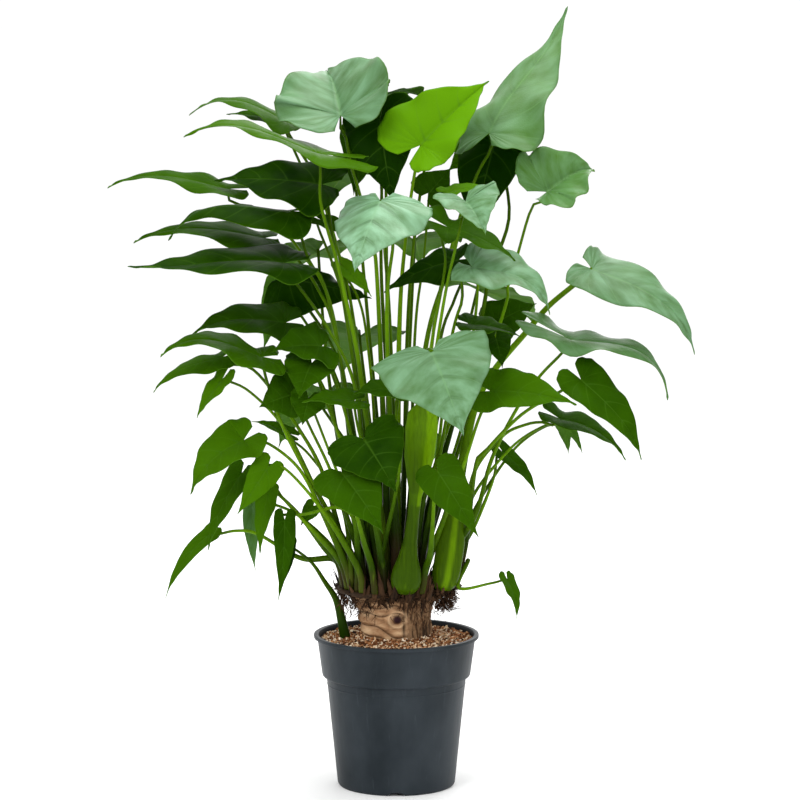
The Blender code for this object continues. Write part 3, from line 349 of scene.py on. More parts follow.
def placeFeet(shapes):
    # each shoot's foot on the crown, further out the more its stalk leans, and pushed clear of the others
    first = {shape["shoot"]: shape for shape in reversed(shapes)}
    shoots = list(first)
    joints = np.array([first[shoot]["joint"] for shoot in shoots])
    spread = np.linalg.norm(joints[:, :2], axis=1, keepdims=True)
    lean = spread / (joints[:, 2:] - build["crown"]).clip(1)
    spots = joints[:, :2] / spread * np.minimum(build["footReach"], build["footFan"] * lean)
    widths = np.array([first[shoot]["base"] for shoot in shoots])
    room = widths[:, None] + widths[None, :] + build["footRoom"]
    for _ in range(800):
        apart = spots[:, None] - spots[None, :]
        distance = np.linalg.norm(apart, axis=2) + 0.001
        push = np.clip(room - distance, 0, None)
        np.fill_diagonal(push, 0)
        spots = spots + (apart / distance[..., None] * push[..., None]).sum(axis=1) * 0.25
        for number, shoot in enumerate(shoots):
            if first[shoot]["foot"] is not None:
                spots[number] = first[shoot]["foot"]
        far = np.linalg.norm(spots, axis=1, keepdims=True)
        fixed = np.array([[first[shoot]["foot"] is not None] for shoot in shoots])
        spots = np.where((far > build["footReach"]) & ~fixed, spots * build["footReach"] / far, spots)
    for shape in shapes:
        shape["spot"] = spots[shoots.index(shape["shoot"])]


def placeBlades(shapes):
    # moves each blade the least way that keeps it clear of the blades before it
    moves = [np.zeros(3)]
    for reach in range(1, 7):
        moves += [np.array([0, reach, 0.0]), np.array([0, -reach, 0.0])]
        moves += [np.array([0, reach / 2, reach / 2]), np.array([0, reach / 2, -reach / 2])]
        moves += [np.array([0, -reach / 2, reach / 2]), np.array([0, -reach / 2, -reach / 2])]
    placed = []
    for shape in shapes:
        joint, tip = shape["joint"], shape["tip"]
        shape["phase"] = joint[0]
        before = treeOf(placed) if placed else None
        best = None
        for move in moves:
            shape.update(joint=joint + move, tip=tip + move)
            points, faces, _, _ = bladeSheet(shape, *bladeGrid(shape))
            solid = bothSides(points, faces, build["bladeThickness"] + 2 * build["bladeClearance"])
            hits = len(treeOf([solid]).overlap(before)) if before else 0
            if best is None or hits < best[0]:
                best = (hits, move, solid)
            if hits == 0:
                break
        shape.update(joint=joint + best[1], tip=tip + best[1])
        shape["via"] = [spot + best[1] / 2 for spot in shape["via"]]
        placed.append(best[2])
    return placed


def stalkLine(shape, bow, shares):
    # the stalk's path from its foot to its joint, its radius along it and its arc length
    foot = np.array([shape["spot"][0], shape["spot"][1], shape["level"] + build["gap"]])
    length, along, _, face = axesOf(shape)
    neck = shape["joint"] - unit(along * 0.35 + face * 0.95) * min(build["neck"], length * 0.15)
    lean = build["footLean"] if shape["level"] > build["soil"] else 0.0
    over = foot + np.array([foot[0] * lean, foot[1] * lean, build["footRise"]])
    smooth = spline([foot, over] + shape["via"] + [neck, shape["joint"]], 60)
    far = np.append(0, np.cumsum(np.linalg.norm(np.diff(smooth, axis=0), axis=1)))
    path = np.stack([np.interp(shares * far[-1], far, smooth[:, axis]) for axis in range(3)], axis=1)
    path = path + np.outer(np.sin(np.pi * shares ** bow[3]), bow[:3])
    thin = build["tipRadius"] * (0.75 + 0.25 * min(1.0, length / 15))
    radii = thin + (shape["base"] - thin) * (1 - shares) ** 1.6
    return path, radii, shares * far[-1]


def placeStalks(shapes, blades):
    # bows each stalk the least way that keeps it clear; a blocked one goes first in the next round
    shares = np.linspace(0, 1, build["stalkSteps"] + 1) ** 1.25
    bows = [np.array([0, 0, 0, 1.0])]
    for reach in (0.6, 1.2, 1.8, 2.6, 3.6, 4.8, 6.2, 8.0):
        for place in (1.0, 0.6, 1.6):
            for eighth in range(8):
                angle = math.pi * eighth / 4
                bows.append(np.array([reach * math.cos(angle), reach * math.sin(angle), 0.0, place]))
    own = [treeOf([blade]) for blade in blades]
    order = list(range(len(shapes)))
    for _ in range(build["reroutes"]):
        placed = {}
        for number in order:
            shape = shapes[number]
            others = [blade for at, blade in enumerate(blades) if at != number]
            others += [solid for other, solid in placed.items()
                       if shapes[other]["shoot"] != shape["shoot"]]
            before = treeOf(others)
            best = None
            for bow in bows:
                path, radii, _ = stalkLine(shape, bow, shares)
                radii[-1] *= 0.5
                wide = radii + build["stalkClearance"]
                solid = tube(path, wide, build["stalkSides"])
                lower = tube(path[:-1], wide[:-1], build["stalkSides"])
                hits = len(treeOf([solid]).overlap(before))
                hits += 3 * len(treeOf([lower]).overlap(own[number]))
                if best is None or hits < best[0]:
                    best = (hits, bow, solid)
                if hits == 0:
                    break
            shape["hits"], shape["bow"], placed[number] = best
        blocked = [number for number in order if shapes[number]["hits"]]
        if not blocked:
            break
        order = blocked + [number for number in order if number not in blocked]


print("placing the leaves")
placeFeet(leaves)
placeStalks(leaves, placeBlades(leaves))


# Small helpers for finishes, most of which add one node and give its output
def newFinish(name, rough=None, ior=None, sheen=None):
    finish = bpy.data.materials.new(name)
    finish.use_nodes = True
    shader = finish.node_tree.nodes["Principled BSDF"]
    for socket, value in (("Roughness", rough), ("IOR", ior), ("Specular IOR Level", sheen)):
        if value is not None:
            shader.inputs[socket].default_value = value
    return finish, shader


def link(finish, output, socket):
    finish.node_tree.links.new(output, socket)


def addNode(finish, kind, inputs=(), **settings):
    made = finish.node_tree.nodes.new("ShaderNode" + kind)
    for name, value in settings.items():
        setattr(made, name, value)
    for name, value in dict(inputs).items():
        if isinstance(value, bpy.types.NodeSocket):
            link(finish, value, made.inputs[name])
        else:
            made.inputs[name].default_value = value
    return made


def calc(finish, operation, *values, clamp=False):
    made = addNode(finish, "Math", dict(enumerate(values)), operation=operation, use_clamp=clamp)
    return made.outputs[0]


def times(finish, a, b, clamp=False):
    return calc(finish, "MULTIPLY", a, b, clamp=clamp)


def scaled(finish, value, gain, plus, clamp=False):
    return calc(finish, "MULTIPLY_ADD", value, gain, plus, clamp=clamp)


def onLine(finish, offset, width):
    # 1 on a line, falling to 0 where the offset reaches the width
    return calc(finish, "SUBTRACT", 1.0, calc(finish, "DIVIDE", offset, width), clamp=True)


def asColour(value):
    return value if isinstance(value, bpy.types.NodeSocket) else (*value, 1)


def mixed(finish, share, a, b):
    inputs = {0: share, 6: asColour(a), 7: asColour(b)}
    return addNode(finish, "Mix", inputs, data_type="RGBA").outputs[2]


def ramp(finish, share, look, stops):
    # each stop is a place and the name of one of the look's colours
    made = addNode(finish, "ValToRGB", {0: share})
    while len(made.color_ramp.elements) < len(stops):
        made.color_ramp.elements.new(0.5)
    for element, (place, key) in zip(made.color_ramp.elements, stops):
        element.position = place
        element.color = (*look[key], 1)
    return made.outputs[0]


def painted(finish, name):
    return addNode(finish, "Attribute", attribute_name=name).outputs["Fac"]


def leafMap(finish):
    # the place along and across a leaf or a stalk
    spot = addNode(finish, "UVMap", uv_map="leafMap").outputs[0]
    parts = addNode(finish, "SeparateXYZ", {0: spot}).outputs
    return parts[0], parts[1]


def stretched(finish, stretch):
    where = addNode(finish, "TexCoord").outputs["Object"]
    return addNode(finish, "Mapping", {"Vector": where, "Scale": stretch}).outputs[0]


def speckle(finish, scale, detail=4.0, rough=0.55, stretch=(1, 1, 1)):
    inputs = {"Vector": stretched(finish, stretch), "Scale": scale, "Detail": detail, "Roughness": rough}
    return addNode(finish, "TexNoise", inputs).outputs[0]


def cracked(finish, scale, stretch=(1, 1, 1)):
    inputs = {"Vector": stretched(finish, stretch), "Scale": scale}
    return addNode(finish, "TexVoronoi", inputs, feature="DISTANCE_TO_EDGE").outputs[0]


def coloured(finish, shader, colour):
    link(finish, colour, shader.inputs["Base Color"])


def raised(finish, shader, height, distance, strength):
    inputs = {"Height": height, "Distance": distance, "Strength": strength}
    link(finish, addNode(finish, "Bump", inputs).outputs[0], shader.inputs["Normal"])


def litThrough(finish, shader, colour, share):
    through = addNode(finish, "BsdfTranslucent", {"Color": colour})
    both = addNode(finish, "MixShader", {0: share, 1: shader.outputs[0], 2: through.outputs[0]})
    out = finish.node_tree.nodes["Material Output"]
    link(finish, both.outputs[0], out.inputs["Surface"])


# Leaves: colours, then how far each effect goes; widths are shares of the way between two side veins
# or, for the midrib and the rim, of the way from the midrib to the margin
# The top's pale colour and paleVein are a painted sky reflection on the glossy tops, and shade is a painted
# shade beside the veins
leafLook = {"top": {"dark": (0.006, 0.028, 0.0002), "mid": (0.036, 0.112, 0.0008),
                    "pale": (0.25, 0.47, 0.28), "vein": (0.10, 0.24, 0.02), "veins": 0.3, "gloss": 0.34},
            "under": {"dark": (0.040, 0.115, 0.006), "mid": (0.11, 0.25, 0.04),
                      "pale": (0.11, 0.25, 0.04), "vein": (0.14, 0.29, 0.03), "veins": 0.75, "gloss": 0.5},
            "yellow": (0.11, 0.29, 0.003), "rim": (0.07, 0.17, 0.005), "lit": (0.14, 0.40, 0.003),
            "shade": (0.016, 0.058, 0.006), "paleVein": (0.25, 0.47, 0.28), "ior": 1.45,
            "mottle": 0.9, "mottleScale": 22, "skyGlare": 1.3, "skyGlareFrom": -0.15, "patch": 2.4,
            "patchFrom": -0.33, "patchRows": 16.0, "patchColumns": 1.6, "patchShift": 9.0,
            "sheen": 0.45, "leastSheen": 0.012, "yellowest": 0.9, "veinWidth": 0.065, "veinTaper": 0.045,
            "sideVein": 0.7, "skyGlareVein": 0.5, "midribWidth": 0.05, "shadeWidth": 1.9, "shadeFade": 0.75,
            "leastShade": 0.3, "rimFrom": 0.98, "rimShare": 0.35, "roughSpeckle": 0.22,
            "through": 0.16, "throughTint": 0.55, "relief": 0.0004, "reliefStrength": 0.35}


def leafFinish(name, face):
    look = {**leafLook, **leafLook[face]}
    finish, shader = newFinish(name, ior=look["ior"])
    along, signed = leafMap(finish)
    across = calc(finish, "ABSOLUTE", signed)
    tone, yellow = painted(finish, "tone"), painted(finish, "yellow")
    mottle = speckle(finish, look["mottleScale"], 5)
    colour = mixed(finish, scaled(finish, mottle, look["mottle"], tone, clamp=True),
                   look["dark"], look["mid"])
    # painted sky reflection: the pale sage glare of the lighter leaves lies in patches drawn out along the
    # side veins
    skyGlare = scaled(finish, tone, look["skyGlare"], look["skyGlareFrom"])
    skyGlare = scaled(finish, yellow, -1.0, skyGlare, clamp=True)
    swept = scaled(finish, calc(finish, "POWER", across, fine["sweepPower"]), fine["sweep"], along)
    rows = times(finish, swept, look["patchRows"])
    columns = scaled(finish, tone, look["patchShift"], times(finish, signed, look["patchColumns"]))
    place = addNode(finish, "CombineXYZ", {0: rows, 1: columns}).outputs[0]
    patch = addNode(finish, "TexNoise", {"Vector": place, "Scale": 1.0, "Detail": 5.0}).outputs[0]
    paler = times(finish, skyGlare, scaled(finish, patch, look["patch"], look["patchFrom"]), clamp=True)
    colour = mixed(finish, paler, colour, look["pale"])
    sheen = scaled(finish, skyGlare, look["sheen"], look["leastSheen"])
    link(finish, sheen, shader.inputs["Specular IOR Level"])
    colour = mixed(finish, times(finish, yellow, look["yellowest"]), colour, look["yellow"])
    # side veins are thin lines at even rows that sweep forward towards the margin
    part = calc(finish, "FRACT", times(finish, swept, float(fine["veins"])))
    offset = calc(finish, "ABSOLUTE", calc(finish, "SUBTRACT", part, 0.5))
    slim = scaled(finish, across, -look["veinTaper"], look["veinWidth"])
    vein, midrib = onLine(finish, offset, slim), onLine(finish, across, look["midribWidth"])
    # painted shade: a dark line beside each vein, strongest near the midrib and on the leaves with the
    # painted sky glare
    paintedVeinShade = onLine(finish, offset, times(finish, slim, look["shadeWidth"]))
    fading = scaled(finish, skyGlare, look["shadeFade"], look["leastShade"])
    fading = scaled(finish, across, -look["shadeFade"], fading)
    colour = mixed(finish, times(finish, paintedVeinShade, fading, clamp=True), colour, look["shade"])
    lines = calc(finish, "MAXIMUM", times(finish, vein, look["sideVein"]), midrib)
    strong = scaled(finish, times(finish, lines, skyGlare), look["skyGlareVein"],
                    times(finish, lines, look["veins"]), clamp=True)
    colour = mixed(finish, strong, colour, mixed(finish, skyGlare, look["vein"], look["paleVein"]))
    edge = times(finish, calc(finish, "GREATER_THAN", across, look["rimFrom"]), look["rimShare"])
    colour = mixed(finish, edge, colour, look["rim"])
    coloured(finish, shader, colour)
    rough = scaled(finish, speckle(finish, 60, 3), look["roughSpeckle"], look["gloss"] - 0.08)
    link(finish, rough, shader.inputs["Roughness"])
    net = times(finish, cracked(finish, 240), 2.0, clamp=True)
    pores = scaled(finish, speckle(finish, 420, 2), 0.4, net)
    raised(finish, shader, pores, look["relief"], look["reliefStrength"])
    litThrough(finish, shader, mixed(finish, look["throughTint"], colour, look["lit"]), look["through"])
    return finish


# Stalks: the stops are shares of the way from the foot to the blade. The darker low part is painted shade
# inside the foliage, and the dark brown foot is partly its own colour and partly painted shade.
stalkLook = {"foot": (0.026, 0.014, 0.006), "low": (0.013, 0.034, 0.0004), "middle": (0.042, 0.100, 0.001),
             "top": (0.12, 0.26, 0.003), "dark": (0.006, 0.020, 0.0002), "yellow": (0.15, 0.30, 0.001),
             "stops": [(0.14, "foot"), (0.23, "low"), (0.4, "middle"), (0.72, "top"), (1.0, "middle")],
             "gloss": 0.3, "sheen": 0.05, "ior": 1.42, "yellowest": 0.8, "darkLines": 0.6,
             "highlightStreaks": 0.5, "relief": 0.0006, "reliefStrength": 0.5}


def stalkFinish(name):
    look = stalkLook
    finish, shader = newFinish(name, look["gloss"], look["ior"], look["sheen"])
    along = scaled(finish, speckle(finish, 60, 3), 0.1, leafMap(finish)[0])
    tone, yellow = painted(finish, "tone"), painted(finish, "yellow")
    # painted shade: the ramp darkens the stalks low down, inside the foliage
    colour = ramp(finish, along, look, look["stops"])
    colour = mixed(finish, scaled(finish, tone, -1.0, 0.1, clamp=True), colour, look["dark"])
    colour = mixed(finish, times(finish, yellow, look["yellowest"], clamp=True), colour, look["yellow"])
    # fine dark lines along the stalk, and bright lines that are painted highlight streaks
    streaks = speckle(finish, 260, 4, 0.6, (1, 1, 0.05))
    darker = scaled(finish, streaks, 1.8, -0.75, clamp=True)
    colour = mixed(finish, times(finish, darker, look["darkLines"]), colour, look["dark"])
    paintedHighlight = scaled(finish, speckle(finish, 150, 3, 0.5, (1, 1, 0.04)), 2.4, -1.35, clamp=True)
    colour = mixed(finish, times(finish, paintedHighlight, look["highlightStreaks"]), colour, look["yellow"])
    coloured(finish, shader, colour)
    raised(finish, shader, streaks, look["relief"], look["reliefStrength"])
    return finish


barkLook = {"tan": (0.36, 0.20, 0.10), "brown": (0.10, 0.042, 0.017), "dark": (0.011, 0.006, 0.003),
            "bud": (0.022, 0.006, 0.010), "pale": (0.60, 0.40, 0.23), "ash": (0.34, 0.205, 0.105),
            "stops": [(0.28, "brown"), (0.45, "tan"), (0.68, "pale")], "rough": 0.75, "sheen": 0.15,
            "budRing": 0.75, "relief": 0.0012, "reliefStrength": 0.6}


def barkFinish():
    look = barkLook
    finish, shader = newFinish("ringedBark", look["rough"], sheen=look["sheen"])
    colour = ramp(finish, speckle(finish, 34, 6, 0.6, (1, 1, 2.2)), look, look["stops"])
    fibre = speckle(finish, 420, 4, 0.65, (1, 1, 0.12))
    strands = mixed(finish, scaled(finish, fibre, 3.6, -1.25, clamp=True), look["brown"], look["ash"])
    colour = mixed(finish, painted(finish, "fibre"), colour, strands)
    # painted shade in the ring cuts, the seam, the fibre hollows and under the crown
    colour = mixed(finish, painted(finish, "groove"), colour, look["dark"])
    colour = mixed(finish, times(finish, painted(finish, "ring"), look["budRing"]), colour, look["pale"])
    colour = mixed(finish, painted(finish, "bud"), colour, look["bud"])
    coloured(finish, shader, colour)
    fineLines = scaled(finish, cracked(finish, 160, (1, 1, 2.5)), 0.8, fibre)
    raised(finish, shader, fineLines, look["relief"], look["reliefStrength"])
    return finish


# Dry fibres: a dark and a light colour for each kind
fibreLook = {"husk": ((0.007, 0.004, 0.002), (0.085, 0.042, 0.019)),
             "root": ((0.007, 0.004, 0.003), (0.075, 0.036, 0.018)),
             "straw": ((0.30, 0.17, 0.07), (0.72, 0.55, 0.34)),
             "rough": 0.8, "sheen": 0.08, "relief": 0.0006, "reliefStrength": 0.6}


def fibreFinish(name, kind):
    look = fibreLook
    finish, shader = newFinish(name, look["rough"], sheen=look["sheen"])
    streaks = speckle(finish, 300, 4, 0.6, (1, 1, 0.15))
    share = calc(finish, "SUBTRACT", painted(finish, "tone"), 0.7)
    share = scaled(finish, streaks, 1.4, share, clamp=True)
    coloured(finish, shader, mixed(finish, share, *look[kind]))
    raised(finish, shader, streaks, look["relief"], look["reliefStrength"])
    return finish


soilLook = {"dark": (0.026, 0.010, 0.005), "brown": (0.22, 0.085, 0.032), "rust": (0.44, 0.19, 0.075),
            "beige": (0.66, 0.43, 0.24), "white": (0.88, 0.76, 0.58), "rough": 0.95, "chipRough": 0.85,
            "sheen": 0.1, "stops": [(0.36, "dark"), (0.5, "brown"), (0.62, "rust"), (0.75, "beige")],
            "chipStops": [(0.16, "dark"), (0.4, "brown"), (0.62, "rust"), (0.82, "beige"), (0.98, "white")],
            "relief": 0.003, "chipRelief": 0.0006, "chipReliefStrength": 0.7}


def soilFinish():
    look = soilLook
    finish, shader = newFinish("barkSoil", look["rough"], sheen=look["sheen"])
    grains = speckle(finish, 190, 6, 0.7)
    coloured(finish, shader, ramp(finish, grains, look, look["stops"]))
    raised(finish, shader, grains, look["relief"], 1.0)
    return finish


def chipFinish():
    look = soilLook
    finish, shader = newFinish("barkChips", look["chipRough"], sheen=look["sheen"])
    grain = speckle(finish, 500, 3, 0.6, (1, 0.3, 1))
    shade = scaled(finish, grain, 0.24, painted(finish, "tone"))
    coloured(finish, shader, ramp(finish, shade, look, look["chipStops"]))
    raised(finish, shader, grain, look["chipRelief"], look["chipReliefStrength"])
    return finish


potLook = {"base": (0.005, 0.009, 0.012), "worn": (0.056, 0.068, 0.080), "gloss": 0.42, "sheen": 0.12,
           "ior": 1.5, "scratches": 0.7, "relief": 0.0003, "reliefStrength": 0.35}


def potFinish():
    look = potLook
    finish, shader = newFinish("potPlastic", ior=look["ior"], sheen=look["sheen"])
    clouds = scaled(finish, speckle(finish, 9, 4, 0.55, (1, 1, 0.6)), 1.1, -0.3)
    scratch = speckle(finish, 120, 5, 0.7, (1, 1, 0.06))
    worn = scaled(finish, scratch, 2.2, -1.3, clamp=True)
    share = scaled(finish, worn, look["scratches"], clouds, clamp=True)
    coloured(finish, shader, mixed(finish, share, look["base"], look["worn"]))
    link(finish, scaled(finish, scratch, 0.25, look["gloss"] - 0.1), shader.inputs["Roughness"])
    grain = scaled(finish, speckle(finish, 900, 2), 0.3, scratch)
    raised(finish, shader, grain, look["relief"], look["reliefStrength"])
    return finish


# Helpers for meshes and objects; points are in centimetres
def newMesh(name, points, faces):
    mesh = bpy.data.meshes.new(name)
    mesh.from_pydata(np.asarray(points) * cm, [], [tuple(map(int, face)) for face in faces])
    return mesh


def inScene(name, data):
    made = bpy.data.objects.new(name, data)
    bpy.context.scene.collection.objects.link(made)
    return made


def newPiece(name, points, faces, finishes, slot, nodes=(), slots=None, corners=None, smooth=True, **values):
    # a visible piece with the finish of each face, its map and its painted values
    mesh = newMesh(name, points, faces)
    for finish in finishes:
        mesh.materials.append(finish)
    if slots is not None:
        mesh.polygons.foreach_set("material_index", np.asarray(slots, np.int32))
    if corners is not None:
        layer = mesh.uv_layers.new(name="leafMap")
        layer.data.foreach_set("uv", np.asarray(corners, np.float32).ravel())
    for key, array in values.items():
        made = mesh.attributes.new(key, "FLOAT", "POINT")
        made.data.foreach_set("value", np.asarray(array, np.float32))
    mesh.polygons.foreach_set("use_smooth", [smooth] * len(mesh.polygons))
    piece = inScene(name, mesh)
    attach(piece, "root")
    if nodes:
        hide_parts(*nodes)
    return piece


def gathered(solids):
    # many loose solids as one list of points, one of faces, and how many points each has
    points, faces, counts, start = [], [], [], 0
    for some, rings in solids:
        points.append(np.asarray(some))
        faces += [tuple(int(at) + start for at in ring) for ring in rings]
        counts.append(len(some))
        start += len(some)
    return np.vstack(points), faces, counts


def ringFaces(rings, sides):
    # joins rings of points from the lowest up, with a cap at each end
    faces = []
    for ring in range(rings - 1):
        for side in range(sides):
            a, b = ring * sides + side, ring * sides + (side + 1) % sides
            faces.append((a, b, b + sides, a + sides))
    last = (rings - 1) * sides
    return faces + [tuple(range(sides))[::-1], tuple(range(last, last + sides))]


def outward(angle):
    return np.array([math.cos(angle), math.sin(angle), 0.0])


# The finer leaf, in centimetres. Grids are rows along and steps across each half. Waves are a strength,
# a count and how the wing and the leaf shift them. Other widths are shares of the half blade's width.
fine = {"grid": (54, 14), "smallGrid": (36, 9), "fullWidth": 14, "veins": 9, "sweep": 0.035,
        "sweepPower": 2.2, "quilt": 0.12, "groove": 0.1, "grooveWidth": 0.05, "midrib": 0.2,
        "midribWidth": 0.045, "margin": 0.03, "ruffle": 0.22, "ruffleWaves": [(1, 19, 4, 1), (0.6, 43, 2, 0)],
        "marginWave": 0.16, "marginWaves": [(1, 27, 3, 2), (0.7, 61, 1, 0)],
        "sides": 12, "rings": 44, "crowding": 1.15, "endFrom": 0.985, "endWidth": 0.6, "swell": 0.3,
        "swellAt": 7, "swellReach": 6, "sheathSides": 28, "sheathRings": 110, "greenFrom": 0.2,
        "tones": (-0.25, 0.12), "yellows": (0, 0.15), "stalkYellow": 0.6}

# How light (above 0) or dark (below 0) a leaf is, and how yellow; the lighter tones also bring in the painted
# sky reflection of the leaf finish
leafTints = {
    "left_top_1": (0.2, 0.1), "left_top_3": (-0.1, 0.35), "left_upper_1": (0.1, 0.1),
    "left_upper_2": (-0.3, 0), "left_upper_4": (-0.1, 0.1), "left_upper_5": (-0.2, 0),
    "top_1": (0.45, 0.0), "top_2": (-0.5, 0), "top_3": (0.5, 1.0), "top_4": (0.42, 0.1),
    "top_5": (-0.5, 0), "top_6": (0.5, 0.2), "top_7": (0.1, 0.5), "front_top_1": (0.72, 0),
    "front_top_2": (0.5, 0), "front_top_3": (0.2, 0.6), "front_top_4": (0.5, 0),
    "front_top_5": (0.2, 0.1), "front_top_6": (-0.4, 0), "front_top_8": (0.1, 0.8),
    "front_right_1": (0.5, 0), "right_1": (0.42, 0), "right_2": (0.32, 0.05), "right_3": (0, 0.05),
    "right_8": (0.12, 0.25), "front_low_1": (-0.2, 0), "front_low_2": (-0.05, 0.1),
    "front_low_3": (-0.05, 0.15), "right_low_1": (0, 0.2), "left_middle_1": (-0.35, 0),
    "left_middle_4": (0.2, 0.15), "left_middle_8": (0.1, 0.2), "left_middle_9": (0.2, 0.4),
    "left_low_1": (0.1, 0.3), "left_low_2": (0.2, 0.3), "left_low_3": (0.25, 0.35),
    "left_low_4": (0.1, 0.1), "left_low_5": (0.1, 0.2), "left_low_6": (0.2, 0.25),
    "left_low_8": (0.35, 0.15), "left_low_11": (-0.6, 0)}

# The wide sheaths at the foot of two stalks, in centimetres. Each knot is an arc length from the foot,
# the half width across and the half depth. A yellow strip lies between two arc lengths, on the side
# where the cosine of the angle round the stalk is between two values. Tones start at an arc length.
sheaths = {
    "front_right_1": {
        "knots": [(0, 0.9, 0.8), (0.5, 1.6, 1.2), (1.3, 2.25, 1.6), (2.6, 2.5, 1.7), (4.2, 2.3, 1.5),
                  (6.5, 1.6, 1.2), (9, 1.15, 0.95), (13, 0.95, 0.8), (16.5, 1.0, 0.75), (19.5, 1.7, 0.8),
                  (23, 2.4, 0.8), (28, 2.6, 0.7), (30.5, 2.3, 0.6), (31.6, 1.5, 0.5), (32.2, 0.6, 0.45),
                  (60, 0.3, 0.28)],
        "strip": (15, 34), "facing": (0.25, 2), "stripTone": 0.2, "yellow": 0.15, "stripYellow": 0.75,
        "tones": [(-1, -0.15), (15, 0.1), (17, -0.3), (34, 0.1)]},
    "right_1": {
        "knots": [(0, 0.9, 0.8), (0.5, 1.6, 1.2), (1.4, 2.1, 1.4), (3, 2.3, 1.4), (8, 2.3, 1.2),
                  (12, 2.0, 1.0), (15, 1.4, 0.85), (19, 0.85, 0.65), (30, 0.55, 0.5), (90, 0.25, 0.25)],
        "strip": (-1, 20), "facing": (-0.2, 0.3), "yellow": 0.25, "stripYellow": 0.6}}


def wavy(waves, row, side, phase):
    # waves along the margin: strength, count, and how the wing and the leaf shift them
    return sum(strength * np.sin(count * row + wing * side + own * phase)
               for strength, count, wing, own in waves)


def fineBlade(shape, tone, yellow):
    small = axesOf(shape)[0] < build["smallLeaf"]
    points, faces, corners, spots = bladeSheet(shape, *fine["smallGrid" if small else "grid"])
    faces = np.array(faces)
    normals = normalsOf(points, faces)
    if (normals @ shape["face"]).mean() < 0:
        faces, corners, normals = faces[:, ::-1], corners[:, ::-1], -normals
    row, share, side, u = spots.T
    size = min(1.0, shape["width"] / fine["fullWidth"])
    # the skin stands up between the side veins and sinks along the midrib
    veins = fine["veins"] * (row + fine["sweep"] * share ** fine["sweepPower"])
    between = np.abs(np.cos(math.pi * veins)) ** 0.6 - 0.5
    relief = fine["quilt"] * size * between * np.sqrt(share) * (1 - share ** 4)
    relief -= fine["groove"] * size * np.exp(-(share / fine["grooveWidth"]) ** 2)
    ruffle = wavy(fine["ruffleWaves"], row, side, shape["phase"])
    relief += fine["ruffle"] * size * share ** 5 * ruffle
    # small waves of the margin in the plane of the blade
    inOut = wavy(fine["marginWaves"], row, side, shape["phase"])
    outer = side * share ** 3 * np.clip(1 - u, 0, 1) * fine["marginWave"] * size * inOut
    points = points + outer[:, None] * axesOf(shape)[2]
    half = (build["bladeThickness"] - fine["margin"] * share ** 4) / 2
    ridge = fine["midrib"] * size * np.exp(-(share / fine["midribWidth"]) ** 2) * np.clip(1 - u, 0.15, 1)
    top = points + normals * (relief + half)[:, None]
    bottom = points + normals * (relief - half - ridge)[:, None]
    count = len(points)
    flat = np.stack([row, side * share], axis=1)
    edges = np.concatenate([faces[:, [0, 1]], faces[:, [1, 2]], faces[:, [2, 0]]])
    known = set(map(tuple, edges))
    rim = [(a, b) for a, b in edges if (b, a) not in known]
    rimFaces = [(b, a, a + count) for a, b in rim] + [(b, a + count, b + count) for a, b in rim]
    rimCorners = flat[np.array(rimFaces) % count]
    allFaces = np.vstack([faces, faces[:, ::-1] + count, rimFaces])
    allCorners = np.concatenate([corners, corners[:, ::-1], rimCorners])
    slots = [0] * len(faces) + [1] * (len(faces) + len(rimFaces))
    paint = np.full(2 * count, tone), np.full(2 * count, yellow)
    return np.vstack([top, bottom]), allFaces, allCorners, slots, *paint


def fineStalk(shape, tone, yellow):
    sheath = sheaths.get(shape["name"])
    if sheath:
        sides, shares = fine["sheathSides"], np.linspace(0, 1, fine["sheathRings"])
        path, radii, arcs = stalkLine(shape, shape["bow"], shares)
        knots = np.array(sheath["knots"])
        wide, deep = np.interp(arcs, knots[:, 0], knots[:, 1]), np.interp(arcs, knots[:, 0], knots[:, 2])
    else:
        sides, shares = fine["sides"], np.linspace(0, 1, fine["rings"] + 1) ** fine["crowding"]
        path, radii, arcs = stalkLine(shape, shape["bow"], shares)
        deep = radii * np.where(shares > fine["endFrom"], fine["endWidth"], 1.0)
        wide = deep * (1 + fine["swell"] * np.exp(-((arcs - fine["swellAt"]) / fine["swellReach"]) ** 2))
    points, faces = tube(path, np.stack([wide, deep], axis=1), sides)
    rings = np.repeat(np.arange(len(path)), sides)
    around = np.tile(np.arange(sides) / sides, len(path))
    tones, yellows = np.full(len(points), tone), np.full(len(points), yellow * fine["stalkYellow"])
    if sheath:
        far, facing = arcs[rings], np.cos(2 * math.pi * around)
        strip = (far > sheath["strip"][0]) & (far < sheath["strip"][1])
        strip = strip & (facing > sheath["facing"][0]) & (facing < sheath["facing"][1])
        yellows = sheath["yellow"] + sheath["stripYellow"] * strip
        if "tones" in sheath:
            starts, levels = np.array(sheath["tones"]).T
            tones = np.where(strip, sheath["stripTone"], levels[np.searchsorted(starts, far) - 1])
    # the sheaths stay green down to the foot
    along = shares[rings].clip(fine["greenFrom"] if sheath else 0)
    corners = np.stack([along, around], axis=1)[np.array(faces)]
    return points, faces, corners, [2] * len(faces), tones, yellows


def leafPiece(shoot, shapes, finishes, draw):
    # a fine leaf for each shape of the shoot; the draws are for the leaves that have no tint of their own
    parts = []
    for shape in shapes:
        tint = draw.uniform(*fine["tones"]), draw.uniform(*fine["yellows"])
        tint = leafTints.get(shape["name"], tint)
        parts += [fineBlade(shape, *tint), fineStalk(shape, *tint)]
    points, faces, _ = gathered([part[:2] for part in parts])
    corners, slots, tone, yellow = (np.concatenate([part[n] for part in parts]) for n in range(2, 6))
    newPiece("fineLeaf_" + shoot, points, faces, finishes, "leaf_green", ["leaf_" + shoot],
             slots, corners, tone=tone, yellow=yellow)


print("growing the leaves")
leafDraw = random.Random(7)
leafFinishes = [leafFinish("leafTop", "top"), leafFinish("leafUnderside", "under"), stalkFinish("leafStalk")]
for shoot in dict.fromkeys(shape["shoot"] for shape in leaves):
    leafPiece(shoot, [shape for shape in leaves if shape["shoot"] == shoot], leafFinishes, leafDraw)


